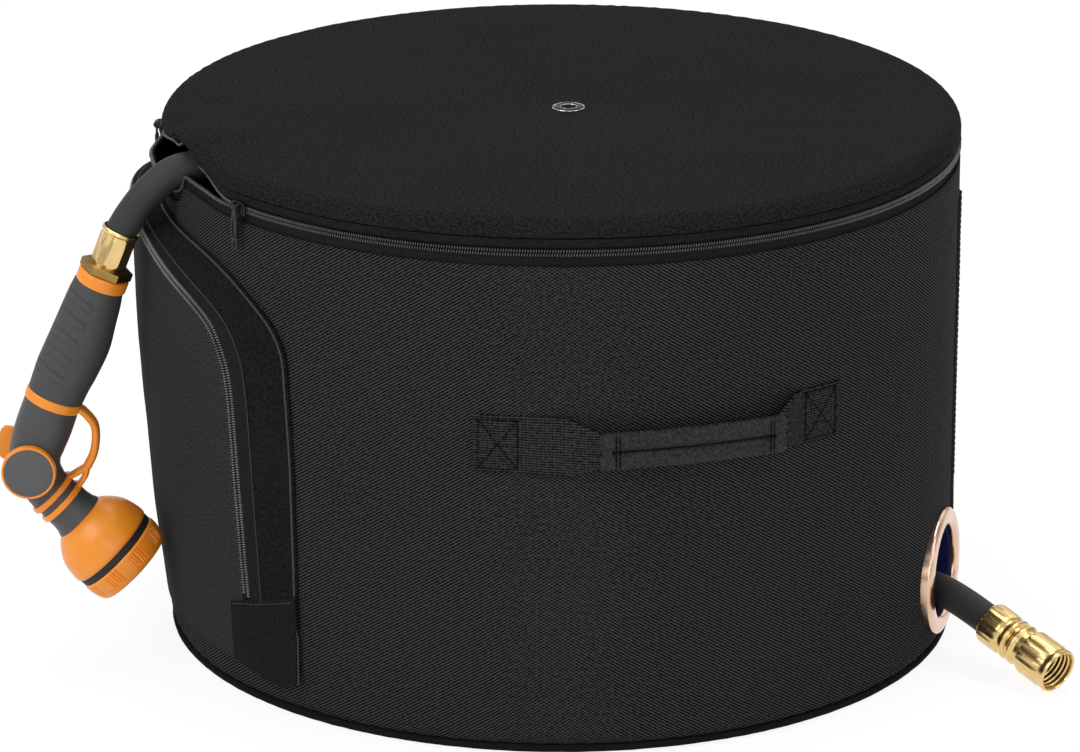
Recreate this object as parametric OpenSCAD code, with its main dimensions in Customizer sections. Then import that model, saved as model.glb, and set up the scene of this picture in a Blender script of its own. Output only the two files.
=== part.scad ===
// Garden hose pot: a round cloth tub on a stiff base, with a zipped lid, two roll handles,
// a zipped pocket on the outside, a metal port, and a hose with a coupling and a spray nozzle.
// Origin: centre of the base on the floor. +Z up, front towards -Y. Angles named *_th count
// from the front (-Y) towards the right (+X), in degrees.

/* [Pot] */
// Outside diameter of the cloth wall
pot_d = 528; // [500:4:560]
// Height from the floor to the top of the lid
pot_h = 355.5; // [345:0.5:380]
// Thickness of the outer cloth
skin = 2; // [1.4:0.1:2.4]
// Thickness of the foam in the wall
foam_t = 3.8; // [2:0.2:6]
// Thickness of the inner lining
lining_t = 1; // [0.6:0.1:1.6]
// Thickness of the base cloth
base_t = 2.2; // [1.4:0.1:3]
// Thickness of the stiff board in the base
board_t = 3; // [2:0.5:5]
// Thickness of the piping round the base
piping_d = 5.2; // [4:0.2:6]
// Height of the rounding at the foot of the wall
foot_h = 8; // [5:1:14]
// Width of the strip over the wall seam, in degrees
strip_deg = 6.4; // [4:0.2:8]

/* [Lid and zip] */
// From the top of the lid down to the middle of the zip
zip_drop = 21.5; // [19.5:0.5:23]
// From the middle of the zip down to the top of the wall cloth
band_h = 38; // [34:1:44]
// Height of each coil of the zip
coil_h = 2.5; // [2:0.1:3]
// Open line between the two coils
zip_gap = 1; // [0.8:0.1:1.4]
// Thickness of the zip tape
tape_t = 0.9; // [0.6:0.1:1]
// How far the coil stands out of its tape
coil_t = 2.7; // [2:0.1:2.9]
// How far below the coil the rim band ends
band_drop = 6; // [4:0.5:8]
// Height of the lid's skirt
skirt_h = 5.8; // [4:0.2:9]
// Width of the lid's rounded edge
edge_w = 7.5; // [5:0.5:20]
// Drop of the lid's rounded edge
edge_drop = 9.2; // [6:0.1:10]
// Thickness of the lid's cloth
panel_t = 1.6; // [1:0.1:2]
// From the lid's rounded edge in to its stiff board
board_in = 29; // [22:1:60]
// Thickness of the stiff board in the lid
lid_board_t = 3; // [2:0.2:4]
// Outside diameter of the lid's eyelet
eyelet_d = 21.5; // [16:0.5:30]
// How far the eyelet sits from the lid's middle, to the right
eyelet_x = 5; // [-20:1:20]
// How far the eyelet sits from the lid's middle, to the front
eyelet_y = 14; // [-20:1:20]
// Width of the lid's cloth hinge, in degrees
hinge_deg = 52; // [30:2:60]

/* [Pocket] */
// How far the pocket stands out at its fullest
pocket_out = 17.3; // [10:0.1:17.3]
// Thickness of the pocket's cloth
pocket_t = 2; // [1.2:0.1:2.2]
// Height of the pocket panel's lower edge
pocket_z = 26; // [24:1:30]

/* [Handles] */
// Middle of the front handle, degrees from the front
handle_th = 17.85; // [14:0.05:24]
// Length of the padded grip, in degrees
grip_deg = 25.5; // [22:0.1:28.1]
// Height of the padded grip
grip_h = 24; // [20:1:30]
// Thickness of the padded grip
grip_t = 6.2; // [5:0.2:7]
// Finger gap between the wall and the grip
grip_gap = 8.4; // [8:0.2:12]
// Height of the grip's middle
grip_z = 208; // [150:1:210]
// Width of the webbing
web_w = 37; // [30:1:44]
// Thickness of the webbing
web_t = 2; // [1.4:0.1:2.4]

/* [Port] */
// Middle of the port, degrees from the front
port_th = 73; // [73:0.5:73]
// Height of the port's middle
port_z = 55; // [55:0.5:57]
// Outside diameter of the port ring
port_d = 85; // [80:1:86]
// Inside diameter of the port ring
port_bore = 61.8; // [56:0.2:62]
// How far the port ring stands out
port_out = 4.4; // [3:0.2:6]

/* [Hose] */
// Outside diameter of the hose
hose_d = 21; // [21:0.1:21]
// Distance between loops that lie side by side, and between layers
loop_pitch = 22; // [22:0.1:22.4]
// Radius of the outermost loop
coil_r = 226; // [224:1:228]
// Number of loops in each of the four layers
layer_loops = 2.7975; // [2.7975:0.25:2.7975]

/* [Coupling] */
// Outside diameter of the coupling's nut
nut_d = 31; // [29:0.2:31]
// Inside diameter of the nut's mouth
nut_bore = 26.4; // [26:0.1:27]
// Depth of the nut's mouth
nut_depth = 16; // [12:1:18]

/* [Nozzle] */
// Outside diameter of the nozzle's face ring
face_d = 57; // [50:1:60]
// Outside diameter of the nozzle's head
head_d = 63; // [60:1:66]
// Radius of the round cap on the nozzle's side
cap_r = 18; // [15:0.5:18.5]
// Gap between pieces that turn on each other
run_gap = 0.08; // [0.05:0.01:0.1]

/* [Hidden] */
$fn = 96;

R = pot_d/2;                       // outside radius of the wall
R1 = R - skin;                     // inside of the outer cloth
slip = 0.1;                        // air between layers of the wall
foam_r = R1 - slip - foam_t;       // inside of the foam
line_r = foam_r - slip;            // outside of the lining
piping_r = R - piping_d/2 - 0.3;   // circle of the base piping
piping_z = 0.8 + piping_d/2;
wall_z = piping_z + piping_d/2 + 0.2;
board_top = base_t + board_t;
// the zip, from the middle outwards
zip_z = pot_h - zip_drop;
wall_top = zip_z - band_h;         // the wall cloth ends and the rim band starts
low_top = zip_z - zip_gap/2;
low_coil = low_top - coil_h;
up_bot = zip_z + zip_gap/2;
up_coil = up_bot + coil_h;
band_top = low_coil - band_drop;
tape_r = R1 - slip;                // outside of the zip tape
skirt_z = up_coil + 0.5;
skirt_top = skirt_z + skirt_h;
panel_r = R - 3.5;                 // edge of the lid's cloth
lid_board_r = panel_r - edge_w - board_in;
// the mouth that the hose leaves by, beside the zip's two sliders
mouth_a = -91.5;
mouth_b = -51.8;
hose_th = -71.4;
slider_a = -93.6;
slider_b = -50;

function sm(x) = let(t = min(1, max(0, x))) t*t*(3 - 2*t);
function at(th, r, z) = [r*sin(th), -r*cos(th), z];
function open_w(th) = sm((th - mouth_a)/14)*sm((mouth_b - th)/13);
function hose_w(th) = sm((6.5 - abs(th - hose_th))/3.9);
// Rim cloth in the mouth: pushed out beside the hose, sagging under it
function rim_out(th) = 8*sm((th + 91.8)/8)*sm((-69 - th)/9) - 3*sm((th + 71)/4)*sm((-54.5 - th)/8);
function rim_dip(th) = 12.6*sqrt(max(0, 1 - pow((th - hose_th)/3.1, 2)))
  + 4*sm((th + 91.8)/8)*sm((-72 - th)/6);
function rim_pt(th, p) = let(w = sm((p[1] - wall_top)/(low_coil - wall_top)),
    v = sm((p[1] - wall_top - 9)/(low_coil - wall_top - 9)))
  at(th, p[0] + rim_out(th)*v, p[1] - rim_dip(th)*w);
// Lid edge in the mouth: raised, and folded in under the seam, most over the hose
function lift(th) = [-4*open_w(th), 6*open_w(th) + 3.8*hose_w(th)];
function seam_pt(th, p) = at(th, p[0] + lift(th)[0], p[1] + lift(th)[1]);
function edge_pt(th, p) = let(a = 30*open_w(th) + 25*hose_w(th), s = p[1] - skirt_top, q = p[0] - R + skin/2)
  at(th, R - skin/2 + lift(th)[0] + s*sin(a) + q*cos(a), skirt_top + lift(th)[1] + s*cos(a) - q*sin(a));
// Lid profile: an almost flat crown with a rounded edge
function lid_flat(r) = pot_h - 0.8*pow(r/(panel_r - edge_w), 2);
function lid_top(r) = let(e = max(0, r - panel_r + edge_w)/edge_w)
  lid_flat(r) - edge_drop*(1 - sqrt(max(0, 1 - e*e)));
function lid_pt(th, p) = let(o = open_w(th), s = sm((p[0] - 190)/60), k = (3.8*o + 3.8*hose_w(th))/edge_drop)
  at(th, p[0] - 4*o*sm((p[0] - 200)/60), p[1] + (2.2*o + 1.2*hose_w(th))*s
      + (lid_flat(p[0]) - lid_top(p[0]))*k)
  + (1 - sm((p[0] - 8)/150))*[eyelet_x, -eyelet_y, 0];

// Steps round the pot: wide, closer in the mouth, closest beside the hose
ring_th = concat([for (t = [-98:2:-78]) t], [for (t = [-77:1:-66]) t], [for (t = [-64:2:-50]) t],
  [for (i = [1:51]) -50 + i*312/52]);
zip_th = concat([for (t = [-152:6:-104]) t],
  [for (t = ring_th) if (t > -99 && t < 156) t]);

// Closed skin over rows of points; each row runs the same way round its section
module skin_rows(rows, closed = true, turned = false) {
  n = len(rows);
  m = len(rows[0]);
  side = [for (i = [0:n - (closed ? 1 : 2)], j = [0:m - 1])
    let(a = i*m + j, b = i*m + (j + 1)%m, c = ((i + 1)%n)*m + (j + 1)%m, d = ((i + 1)%n)*m + j)
    each turned ? [[a, b, d], [b, c, d]] : [[a, b, c], [a, c, d]]];
  ends = closed ? [] : [[for (j = [m - 1:-1:0]) j], [for (j = [0:m - 1]) (n - 1)*m + j]];
  polyhedron([for (r = rows) each r], concat(side, ends), 4);
}

// Round tube along points, with a section square to the way it runs
function unit(v) = v/norm(v);
function heading(p, i) = unit(i == 0 ? p[1] - p[0] : i == len(p) - 1 ? p[i] - p[i - 1] :
  unit(p[i + 1] - p[i]) + unit(p[i] - p[i - 1]));
module tube(p, r, sides) {
  skin_rows([for (i = [0:len(p) - 1]) let(t = heading(p, i), s = unit(cross(t, [0, 0, 1])), u = cross(s, t))
    [for (k = [0:sides - 1]) let(a = 360*k/sides) p[i] + r*(cos(a)*s - sin(a)*u)]], false);
}
// Smooth line through points, n steps between two of them
function curve(p, n) = let(e = len(p) - 1, q = concat([2*p[0] - p[1]], p, [2*p[e] - p[e - 1]]))
  concat([for (i = [0:e - 1], k = [0:n - 1]) let(t = k/n, a = q[i], b = q[i + 1], c = q[i + 2], d = q[i + 3])
    0.5*(2*b + (c - a)*t + (2*a - 5*b + 4*c - d)*t*t + (3*b - a - 3*c + d)*t*t*t)], [p[e]]);

// Local frame on the wall: x outwards, y along the wall, z up
module place(th, r, z) { translate([0, 0, z]) rotate([0, 0, th - 90]) translate([r, 0, 0]) children(); }
// Ring sector between two angles, from a section drawn in radius and height
module sector(a, b) { rotate([0, 0, a - 90]) rotate_extrude(angle = b - a, $fn = 180) children(); }
module block(r0, r1, z0, z1) { translate([r0, z0]) square([r1 - r0, z1 - z0]); }

// ---- base ----
module base_panel() {
  color([0.13, 0.13, 0.14]) cylinder(r = piping_r - piping_d/2 - 0.2, h = base_t, $fn = 180);
}
module base_board() {
  color([0.3, 0.3, 0.3]) translate([0, 0, base_t])
    cylinder(r = line_r - lining_t - 0.2, h = board_t, $fn = 180);
}
module base_piping() {
  color([0.1, 0.1, 0.1]) rotate_extrude($fn = 180) translate([piping_r, piping_z])
    circle(d = piping_d, $fn = 40);
}

// ---- wall ----
foot_in = 3.6;
module wall_section() {
  polygon(concat([for (a = [0:15:90]) [R - foot_in*(1 - sin(a)), wall_z + foot_h*(1 - cos(a))]],
    [[R, wall_top], [R1, wall_top]],
    [for (a = [90:-15:0]) [R1 - foot_in*(1 - sin(a)), wall_z + foot_h*(1 - cos(a))]]));
}
module port_bar(r, x0, x1) {
  place(port_th, 0, port_z) rotate([0, 90, 0]) translate([0, 0, x0]) cylinder(r = r, h = x1 - x0);
}
barrel_r = port_bore/2 + 1.1;      // outside of the port ring's barrel
port_hole = barrel_r + 0.3;        // hole in the cloth
front_a = -100;
front_b = 84;
module wall_front() {
  color([0.13, 0.13, 0.14]) difference() {
    sector(front_a, front_b) wall_section();
    port_bar(port_hole, R - 40, R + 20);
  }
}
module wall_back() { color([0.13, 0.13, 0.14]) sector(front_b, 360 + front_a) wall_section(); }
module wall_foam() {
  color([0.5, 0.5, 0.5]) difference() {
    rotate_extrude($fn = 180) block(foam_r, R1 - slip, wall_z + foot_h + 1, wall_top);
    port_bar(port_hole, R - 40, R + 20);
  }
}
module wall_lining() {
  color([0.2, 0.2, 0.22]) difference() {
    rotate_extrude($fn = 180) block(line_r - lining_t, line_r, board_top + 0.1, wall_top);
    port_bar(port_hole, R - 40, R + 20);
  }
}
strip_a = front_b - 3.2;
module seam_strip() {
  color([0.1, 0.1, 0.1]) difference() {
    sector(strip_a, strip_a + strip_deg) block(R + 0.1, R + 2.3, 35, wall_top + 4);
    port_bar(port_d/2 + 0.6, R - 10, R + 20);
  }
}
band_z = [wall_top, wall_top + 10, wall_top + 20, band_top];
module rim_band() {
  color([0.13, 0.13, 0.14]) skin_rows([for (t = ring_th) concat(
    [for (z = band_z) rim_pt(t, [R, z])], [for (i = [3:-1:0]) rim_pt(t, [R1, band_z[i]])])]);
}

// ---- zip round the rim ----
function coil_bump(z0, s) = [[tape_r, z0], [tape_r + coil_t - 0.3, z0 + s*0.2],
    [tape_r + coil_t, z0 + s*coil_h/2],
  [tape_r + coil_t - 0.3, z0 + s*(coil_h - 0.1)], [tape_r, z0 + s*coil_h]];
module zip_lower() {
  t0 = tape_r - tape_t;
  color([0.1, 0.1, 0.1]) skin_rows([for (t = zip_th) [for (p = concat(
    [for (i = [1:3]) [tape_r, band_z[i]]], coil_bump(low_coil, 1),
    [[t0, low_top], [t0, band_z[3]], [t0, band_z[2]], [t0, band_z[1]]])) rim_pt(t, p)]], false, true);
}
module zip_upper() {
  t0 = tape_r - tape_t;
  z = skirt_z + skirt_h*0.5;
  color([0.1, 0.1, 0.1]) skin_rows([for (t = zip_th) [for (p = concat(coil_bump(up_bot, 1),
    [[tape_r, z], [t0, z], [t0, up_bot]])) edge_pt(t, p)]], false, true);
}

// ---- lid ----
lid_r = concat([8, 110, 190, 225], [for (k = [1, 0.55, 0.25, 0.08, 0]) panel_r - k*edge_w]);
module lid_panel() {
  under = [for (i = [7:-1:0]) [lid_r[i] - (i > 4 ? panel_t : 0),
      lid_top(lid_r[i] - (i > 4 ? panel_t : 0)) - panel_t]];
  color([0.13, 0.13, 0.14]) skin_rows([for (t = ring_th) [for (p = concat(
    [for (i = [6:-1:3]) under[7 - i]], [[lid_r[1], lid_top(lid_r[1]) - panel_t],
        [lid_r[0], lid_top(lid_r[0]) - panel_t]],
    [for (r = lid_r) [r, lid_top(r)]])) lid_pt(t, [p[0], p[1]])]]);
}
module lid_piping() {
  c = [R - 1.5, skirt_top + 2];
  color([0.1, 0.1, 0.1]) skin_rows([for (t = ring_th) [for (k = [0:5]) seam_pt(t,
      c + 1.2*[cos(60*k), sin(60*k)])]]);
}
module lid_skirt() {
  top = skirt_top - 0.3;
  color([0.13, 0.13, 0.14]) skin_rows([for (t = ring_th) [for (p = [[R1, skirt_z], [R, skirt_z], [R, top],
      [R1, top]]) edge_pt(t, p)]]);
}
board_z = lid_flat(lid_board_r) - panel_t - 0.2;
module at_eyelet() { translate([eyelet_x, -eyelet_y, 0]) children(); }
module lid_board() {
  color([0.3, 0.3, 0.3]) difference() {
    translate([0, 0, board_z - lid_board_t]) cylinder(r = lid_board_r, h = lid_board_t, $fn = 180);
    at_eyelet() translate([0, 0, board_z - 9]) cylinder(r = 8, h = 18);
  }
}
module lid_lining() {
  z = board_z - lid_board_t - 0.2;
  e = panel_r - edge_w;
  color([0.2, 0.2, 0.22]) difference() {
    rotate_extrude($fn = 180)
      polygon([[0, z - 1], [lid_board_r + 1, z - 1], [lid_board_r + 9, board_z - 1.3], [e, board_z - 1.5],
          [e, board_z - 0.4],
        [lid_board_r + 8, board_z - 0.3], [lid_board_r, z], [0, z]]);
    at_eyelet() translate([0, 0, z - 9]) cylinder(r = 11, h = 18);
  }
}
eyelet_r = eyelet_d/2;
module lid_eyelet() {
  color([0.72, 0.55, 0.3]) at_eyelet() rotate_extrude() difference() {
    union() {
      translate([eyelet_r - 2.2, pot_h + 0.15]) intersection() { scale([1, 0.75]) circle(r = 2.2, $fn = 32);
          block(-3, 3, 0, 3); }
      block(5.2, eyelet_r - 2.2, pot_h + 0.15, pot_h + 1.8);
      block(5.2, 6.4, board_z - lid_board_t - 2.4, pot_h + 1);
    }
    translate([5.2, pot_h + 1.8]) circle(r = 0.9, $fn = 24);
  }
}
module lid_eyelet_washer() {
  color([0.72, 0.55, 0.3]) at_eyelet() rotate_extrude() block(6.6, eyelet_r, board_z - lid_board_t - 2.3,
      board_z - lid_board_t - 1.3);
}
hinge_th = 181;                    // middle of the stretch without a zip
module lid_hinge_strip() {
  color([0.13, 0.13, 0.14]) sector(hinge_th - hinge_deg/2, hinge_th + hinge_deg/2)
    block(R1 + 0.1, R - 0.1, zip_z + 0.3, skirt_z - 0.1);
}
module hinge_band() {
  color([0.13, 0.13, 0.14]) sector(hinge_th - hinge_deg/2, hinge_th + hinge_deg/2)
    block(R1 + 0.1, R - 0.1, band_top + 0.1, zip_z - 0.3);
}

// ---- sliders and pulls ----
pin_x = R + 5.4;                   // hinge pin of a pull, from the pot's middle
pin_r = 0.8;
half = 1.5;                        // half length of a slider, degrees
pull_w = 6;
pull_l = 28;
module slider(th, s) {
  color([0.25, 0.25, 0.25]) {
    sector(th - half, th + half) block(R + 1, R + 2.8, zip_z - 5.4, zip_z + 5.4);
    sector(th - half, th + half) block(tape_r - tape_t - 2.4, tape_r - tape_t - 0.6, zip_z - 5, zip_z + 4.2);
    sector(th + s*(half - 0.3) - 0.2, th + s*(half - 0.3) + 0.2)
      block(tape_r - tape_t - 2, R + 2, zip_z - 0.25, zip_z + 0.25);
    place(th, 0, zip_z + 2) for (y = [-1, 1]) translate([R + 2.6, y*2.9 - 0.6, -2.2]) cube([4.8, 1.2, 4.4]);
    place(th, pin_x, zip_z + 2) rotate([90, 0, 0]) cylinder(r = pin_r, h = 6, center = true, $fn = 32);
  }
}
module pull() {                    // hangs from the origin, its pin along y
  color([0.25, 0.25, 0.25]) difference() {
    union() {
      rotate([90, 0, 0]) cylinder(r = 1.9, h = 4, center = true, $fn = 40);
      translate([-0.7, -2, -5]) cube([1.4, 4, 4.4]);
      translate([-0.7, -pull_w/2, -pull_l + pull_w/2]) cube([1.4, pull_w, pull_l - pull_w/2 - 3.4]);
      translate([0, 0, -pull_l + pull_w/2]) rotate([0, 90, 0]) cylinder(d = pull_w, h = 1.4, center = true,
          $fn = 48);
    }
    rotate([90, 0, 0]) cylinder(r = pin_r + run_gap, h = 10, center = true, $fn = 32);
    translate([0, 0, -pull_l + pull_w/2]) rotate([0, 90, 0]) cylinder(d = pull_w - 3, h = 4, center = true,
        $fn = 40);
  }
}
module zip_slider_front() { slider(slider_b, -1); }
module zip_pull_front() { place(slider_b, pin_x, zip_z + 2) pull(); }
module zip_slider_left() { slider(slider_a, 1); }
module zip_pull_left() { place(slider_a, pin_x, zip_z + 2) pull(); }

// ---- pocket ----
// Half outlines from the lower corner up to the top, as [degrees from the pocket's middle, height]
zip_line = [[41.3, 62], [39.9, 167], [39.2, 212], [37.7, 237], [34.2, 258], [25, 276], [13.5, 292], [0, 297]];
sew_line = [[50.7, 62], [50.2, 172], [49.5, 217], [48.5, 250], [44.1, 271.6], [34, 293], [19, 300.5],
    [0, 303.5]];
pocket_mid = -90;
foot_r = R + 0.9 + pocket_t;       // outside of the pocket's cloth where it is sewn on
function full(p) = concat([for (i = [0:len(p) - 2]) p[i]], [for (i = [len(p) - 1:-1:0]) [-p[i][0], p[i][1]]]);
function fine(p) = let(q = full(p), e = len(q) - 1) concat([q[0]], curve([for (i = [1:e - 1]) q[i]], 2),
    [q[e]]);
zips = fine(zip_line);
sews = fine(sew_line);
function swell(d, z) = pocket_out*(1 - 0.64*pow(abs(d)/40, 2.2))
  *(1 - pow((297 - max(pocket_z, min(297, z)))/271, 2));
function pocket_pt(d, z, n) = at(pocket_mid + d, foot_r + swell(d, z) + n, z);
// Point on the zip's outline, pulled in or let out by factor k, n out of the cloth
function line_pt(q, k, n) = let(d = q[0]*k, z = 120 + (q[1] - 120)*k, s = swell(q[0], q[1]))
  at(pocket_mid + d, foot_r + s + n, z);
panel_line = [for (q = concat([[41.3, 62], [40.3, 127]], [for (i = [1:len(zips) - 2]) zips[i]],
    [[-40.3, 127], [-41.3, 62]])) [q[0]*0.975, 120 + (q[1] - 120)*0.975]];
module pocket_panel() {
  m = 9;
  color([0.15, 0.15, 0.16]) skin_rows([for (q = panel_line) concat(
    [for (j = [m:-1:0]) let(z = pocket_z + (q[1] - pocket_z)*j/m) pocket_pt(-q[0], z, 0)],
    [for (j = [0:m]) let(z = pocket_z + (q[1] - pocket_z)*j/m) pocket_pt(-q[0], z, -pocket_t)])], false);
}
module pocket_gusset() {
  w = [0, 0.35, 0.7, 1];
  function g(i, w, n) = let(a = line_pt(zips[i], 1.025, 0),
      b = at(pocket_mid + sews[i][0], foot_r, sews[i][1]),
    p = (1 - w)*a + w*b, r = norm([p[0], p[1]])) [p[0]*(r + n)/r, p[1]*(r + n)/r, p[2]];
  color([0.13, 0.13, 0.14]) skin_rows([for (i = [0:len(zips) - 1]) concat(
    [for (k = w) g(i, k, -pocket_t)], [for (j = [3:-1:0]) g(i, w[j], 0)])], false);
}
module pocket_zip(k) {
  color([0.1, 0.1, 0.1]) skin_rows([for (q = zips) [for (p = k) line_pt(q, p[0], p[1])]], false);
}
module pocket_zip_outer() { pocket_zip([[1.0037, -1.6], [1.021, -1.6], [1.021, -0.6], [1.013, -0.6],
    [1.012, 0.8], [1.0037, 0.8]]); }
module pocket_zip_inner() { pocket_zip([[0.979, -1.6], [0.9963, -1.6], [0.9963, 0.8], [0.988, 0.8],
    [0.987, -0.6], [0.979, -0.6]]); }
// Straight run of the zip on the far side, where its slider goes
run_a = line_pt([-41.3, 62], 1, 0);
run_b = line_pt([-39.9, 167], 1, 0);
run_dir = unit(run_b - run_a);
slide_at = run_a + 24*run_dir;
echo(slide_at = slide_at, run_dir = run_dir);
module on_run() {                  // x outwards, y along the wall, z up the zip
  x = unit([slide_at[0], slide_at[1], 0] - run_dir*([slide_at[0], slide_at[1], 0]*run_dir));
  y = cross(run_dir, x);
  multmatrix([[x[0], y[0], run_dir[0], slide_at[0]], [x[1], y[1], run_dir[1], slide_at[1]],
    [x[2], y[2], run_dir[2], slide_at[2]], [0, 0, 0, 1]]) children();
}
module pocket_slider() {
  color([0.25, 0.25, 0.25]) on_run() {
    translate([1.4, -4.5, -6]) cube([1.6, 9, 12]);
    translate([-3.4, -3, -6]) cube([1.2, 6, 12]);
    translate([-3, -0.2, -6]) cube([5, 0.4, 2]);
    for (y = [-1, 1]) translate([2.9, y*2.9 - 0.6, 0]) cube([4.4, 1.2, 4.4]);
    translate([5.2, 0, 2.2]) rotate([90, 0, 0]) cylinder(r = pin_r, h = 6, center = true, $fn = 32);
  }
}
module pocket_pull() { on_run() translate([5.2, 0, 2.2]) pull(); }
module corner(s) {
  c = [[35.2, 65], [50.3, 85.5], [50.1, 30], [46.2, 19.5], [34.7, 27]];
  function p(u, v, n) = let(a = (1 - u)*c[0] + u*c[1], b = (1 - u)*c[4] + u*((1 - v)*c[2] + v*c[3]),
    q = (1 - v)*a + v*b) at(pocket_mid + s*q[0], foot_r + swell(q[0], q[1]) + n, q[1]);
  color([0.13, 0.13, 0.14]) skin_rows([for (i = [0:4]) concat(
    [for (j = [0:4]) p(s > 0 ? i/4 : 1 - i/4, j/4, 1.1)],
        [for (j = [4:-1:0]) p(s > 0 ? i/4 : 1 - i/4, j/4, 2.5)])], false);
}
module pocket_corner_right() { corner(1); }
module pocket_corner_left() { corner(-1); }

// ---- handles ----
grip_r = R + grip_gap;
grip_a = handle_th - grip_deg/2;
grip_b = handle_th + grip_deg/2;
module grip() {
  color([0.16, 0.16, 0.17]) sector(grip_a, grip_b) for (z = [grip_z - grip_h/4 - 0.1,
      grip_z + grip_h/4 + 0.1])
    translate([grip_r + grip_t/2, z]) {
      square([grip_t, grip_h/2 - grip_t + 0.6], center = true);
      for (s = [-1, 1]) translate([0, s*(grip_h/4 - grip_t/2 + 0.3)]) circle(d = grip_t, $fn = 32);
    }
}
module strap(p) {                  // rows of angle, inside radius, lower and upper edge, thickness
  color([0.1, 0.1, 0.1]) skin_rows([for (q = p) [at(q[0], q[1], q[2]), at(q[0], q[1] + q[4], q[2]),
    at(q[0], q[1] + q[4], q[3]), at(q[0], q[1], q[3])]], false);
}
module webbing() {
  a = grip_a;
  b = grip_b;
  z = grip_z + 1;
  h = web_w/2;
  r = R + 0.2;
  g = grip_h/2;
  strap([[a - 17, r, z - h, z + h, web_t], [a - 13.6, r, z - h, z + h, web_t],
      [a - 10.3, r, z - h, z + h, web_t],
    [a - 6.5, r + 3, z - h, z + h, web_t], [a - 3.7, r + 5.6, z - h, z + h - 1, web_t],
    [a - 1.8, grip_r - 0.4, grip_z - g - 1.5, grip_z + g + 4, web_t + 1],
    [a - 0.15, grip_r + 0.6, grip_z - g + 0.5, grip_z + g - 0.5, 4.6]]);
  strap([[b + 0.15, grip_r + 0.6, grip_z - g + 0.5, grip_z + g - 0.5, 4.6],
    [b + 1.8, grip_r - 1.4, grip_z - g, grip_z + g + 8, web_t + 0.6],
    for (d = [4.3, 7.7, 11.1]) [b + d, r, z - h + 3, z + h + 2, web_t]]);
}
module handle_front_webbing() { webbing(); }
module handle_front_grip() { grip(); }
back_turn = 175;                   // the back handle, clear of the pocket
module handle_back_webbing() { rotate([0, 0, back_turn]) webbing(); }
module handle_back_grip() { rotate([0, 0, back_turn]) grip(); }

// ---- port ----
module port_turn() { place(port_th, 0, port_z) rotate([0, 90, 0]) rotate_extrude() children(); }
bore_r = port_bore/2;
module port_ring_front() {
  r1 = port_d/2;
  color([0.85, 0.66, 0.55]) {
    difference() {
      port_turn() polygon(concat([[bore_r, R - 8], [r1 - 0.5, R - 8], [r1, R - 7]],
        [for (a = [0:15:90]) [r1 - 5 + 5*cos(a), R + port_out - 3 + 3*sin(a)]],
        [for (a = [90:-15:0]) [bore_r + 4 - 4*cos(a), R + port_out - 3 + 3*sin(a)]]));
      cylinder(r = R + 0.1, h = 200, $fn = 180);
    }
    port_turn() block(bore_r, barrel_r, R - 10, R + 1.2);
  }
}
module port_ring_back() {
  color([0.85, 0.66, 0.55]) intersection() {
    port_turn() block(barrel_r + 0.2, port_d/2 - 1.5, line_r - lining_t - 5.2, line_r);
    cylinder(r = line_r - lining_t - 0.1, h = 200, $fn = 180);
  }
}
module port_sleeve() {
  color([0.1, 0.12, 0.32]) port_turn() block(bore_r - 1.3, bore_r - 0.2, R - 9.5, R - 1);
}

// ---- hose ----
hose_r = hose_d/2;
coil_a0 = 12;                      // where the lowest loop starts, degrees from +X
coil_z = board_top + 0.3 + hose_r; // height of the lowest layer
coil_in = coil_r - loop_pitch*layer_loops;
function coil_pt(t) = let(q = 4*t, j = min(3, floor(q)), f = q - j, w = 0.25/layer_loops,
  r = j % 2 == 0 ? coil_r + (coil_in - coil_r)*f : coil_in + (coil_r - coil_in)*f,
  up = f > 1 - w && j < 3 ? sm((f - 1 + w)/(2*w)) : f < w && j > 0 ? sm((f + w)/(2*w)) - 1 : 0,
  a = coil_a0 + 360*4*layer_loops*t)
  [r*cos(a), r*sin(a), coil_z + loop_pitch*(j + up)];
coil_n = round(24*4*layer_loops);
loops = [for (i = [0:coil_n]) coil_pt(i/coil_n)];
coil_t0 = unit(loops[1] - loops[0]);
coil_t1 = unit(loops[coil_n] - loops[coil_n - 1]);
coil_path = concat([loops[0] - hose_d*coil_t0], loops, [loops[coil_n] + hose_d*coil_t1]);
module hose_coil() { color([0.2, 0.2, 0.2]) tube(coil_path, hose_r, 6); }
// Least gap between loops, on points of the line, at least two rings apart
gap = min([for (i = [0:2:coil_n], j = [i + 8:1:min(coil_n, i + 34)]) norm(loops[i] - loops[j])]) - hose_d;
gap2 = min([for (i = [0:2:coil_n], j = [i + 34:1:min(coil_n, i + 160)]) norm(loops[i] - loops[j])]) - hose_d;
echo(least_gap = min(gap, gap2));
inlet = [[286, -118, 32], [272, -103, 38], [258, -87, 42], [246, -70, 42], [238, -51, 37], [233, -31, 29],
    [230, -10, 20]];
module hose_inlet() {
  e = coil_path[0];
  s = inlet[0] + 14*coupling_d;
  color([0.2, 0.2, 0.2]) tube(concat([s], curve(concat(inlet, [e - 12*coil_t0]), 2), [e]), hose_r, 10);
}
outlet = [[-12, 226, 88], [-48, 218, 104], [-82, 198, 128], [-110, 168, 160], [-128, 132, 196],
    [-138, 94, 230],
  [-146, 56, 262], [-156, 18, zip_z - 44], [-172, -18, zip_z - 21], [-192, -48, zip_z - 7],
      [-213, -71, zip_z],
  [-233, -82, zip_z + 2], [-251, -86, zip_z - 1], [-267, -88, zip_z - 14], [-278, -88, zip_z - 28]];
nozzle_o = [-285.5, -88, zip_z - 40];
nozzle_d = unit([-0.3665, 0, -0.9304]);
module hose_outlet() {
  e = coil_path[len(coil_path) - 1];
  color([0.2, 0.2, 0.2]) tube(concat([e], curve(concat([e + 12*coil_t1], outlet, [nozzle_o]), 2),
      [nozzle_o + 12*nozzle_d]), hose_r, 10);
}

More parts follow.
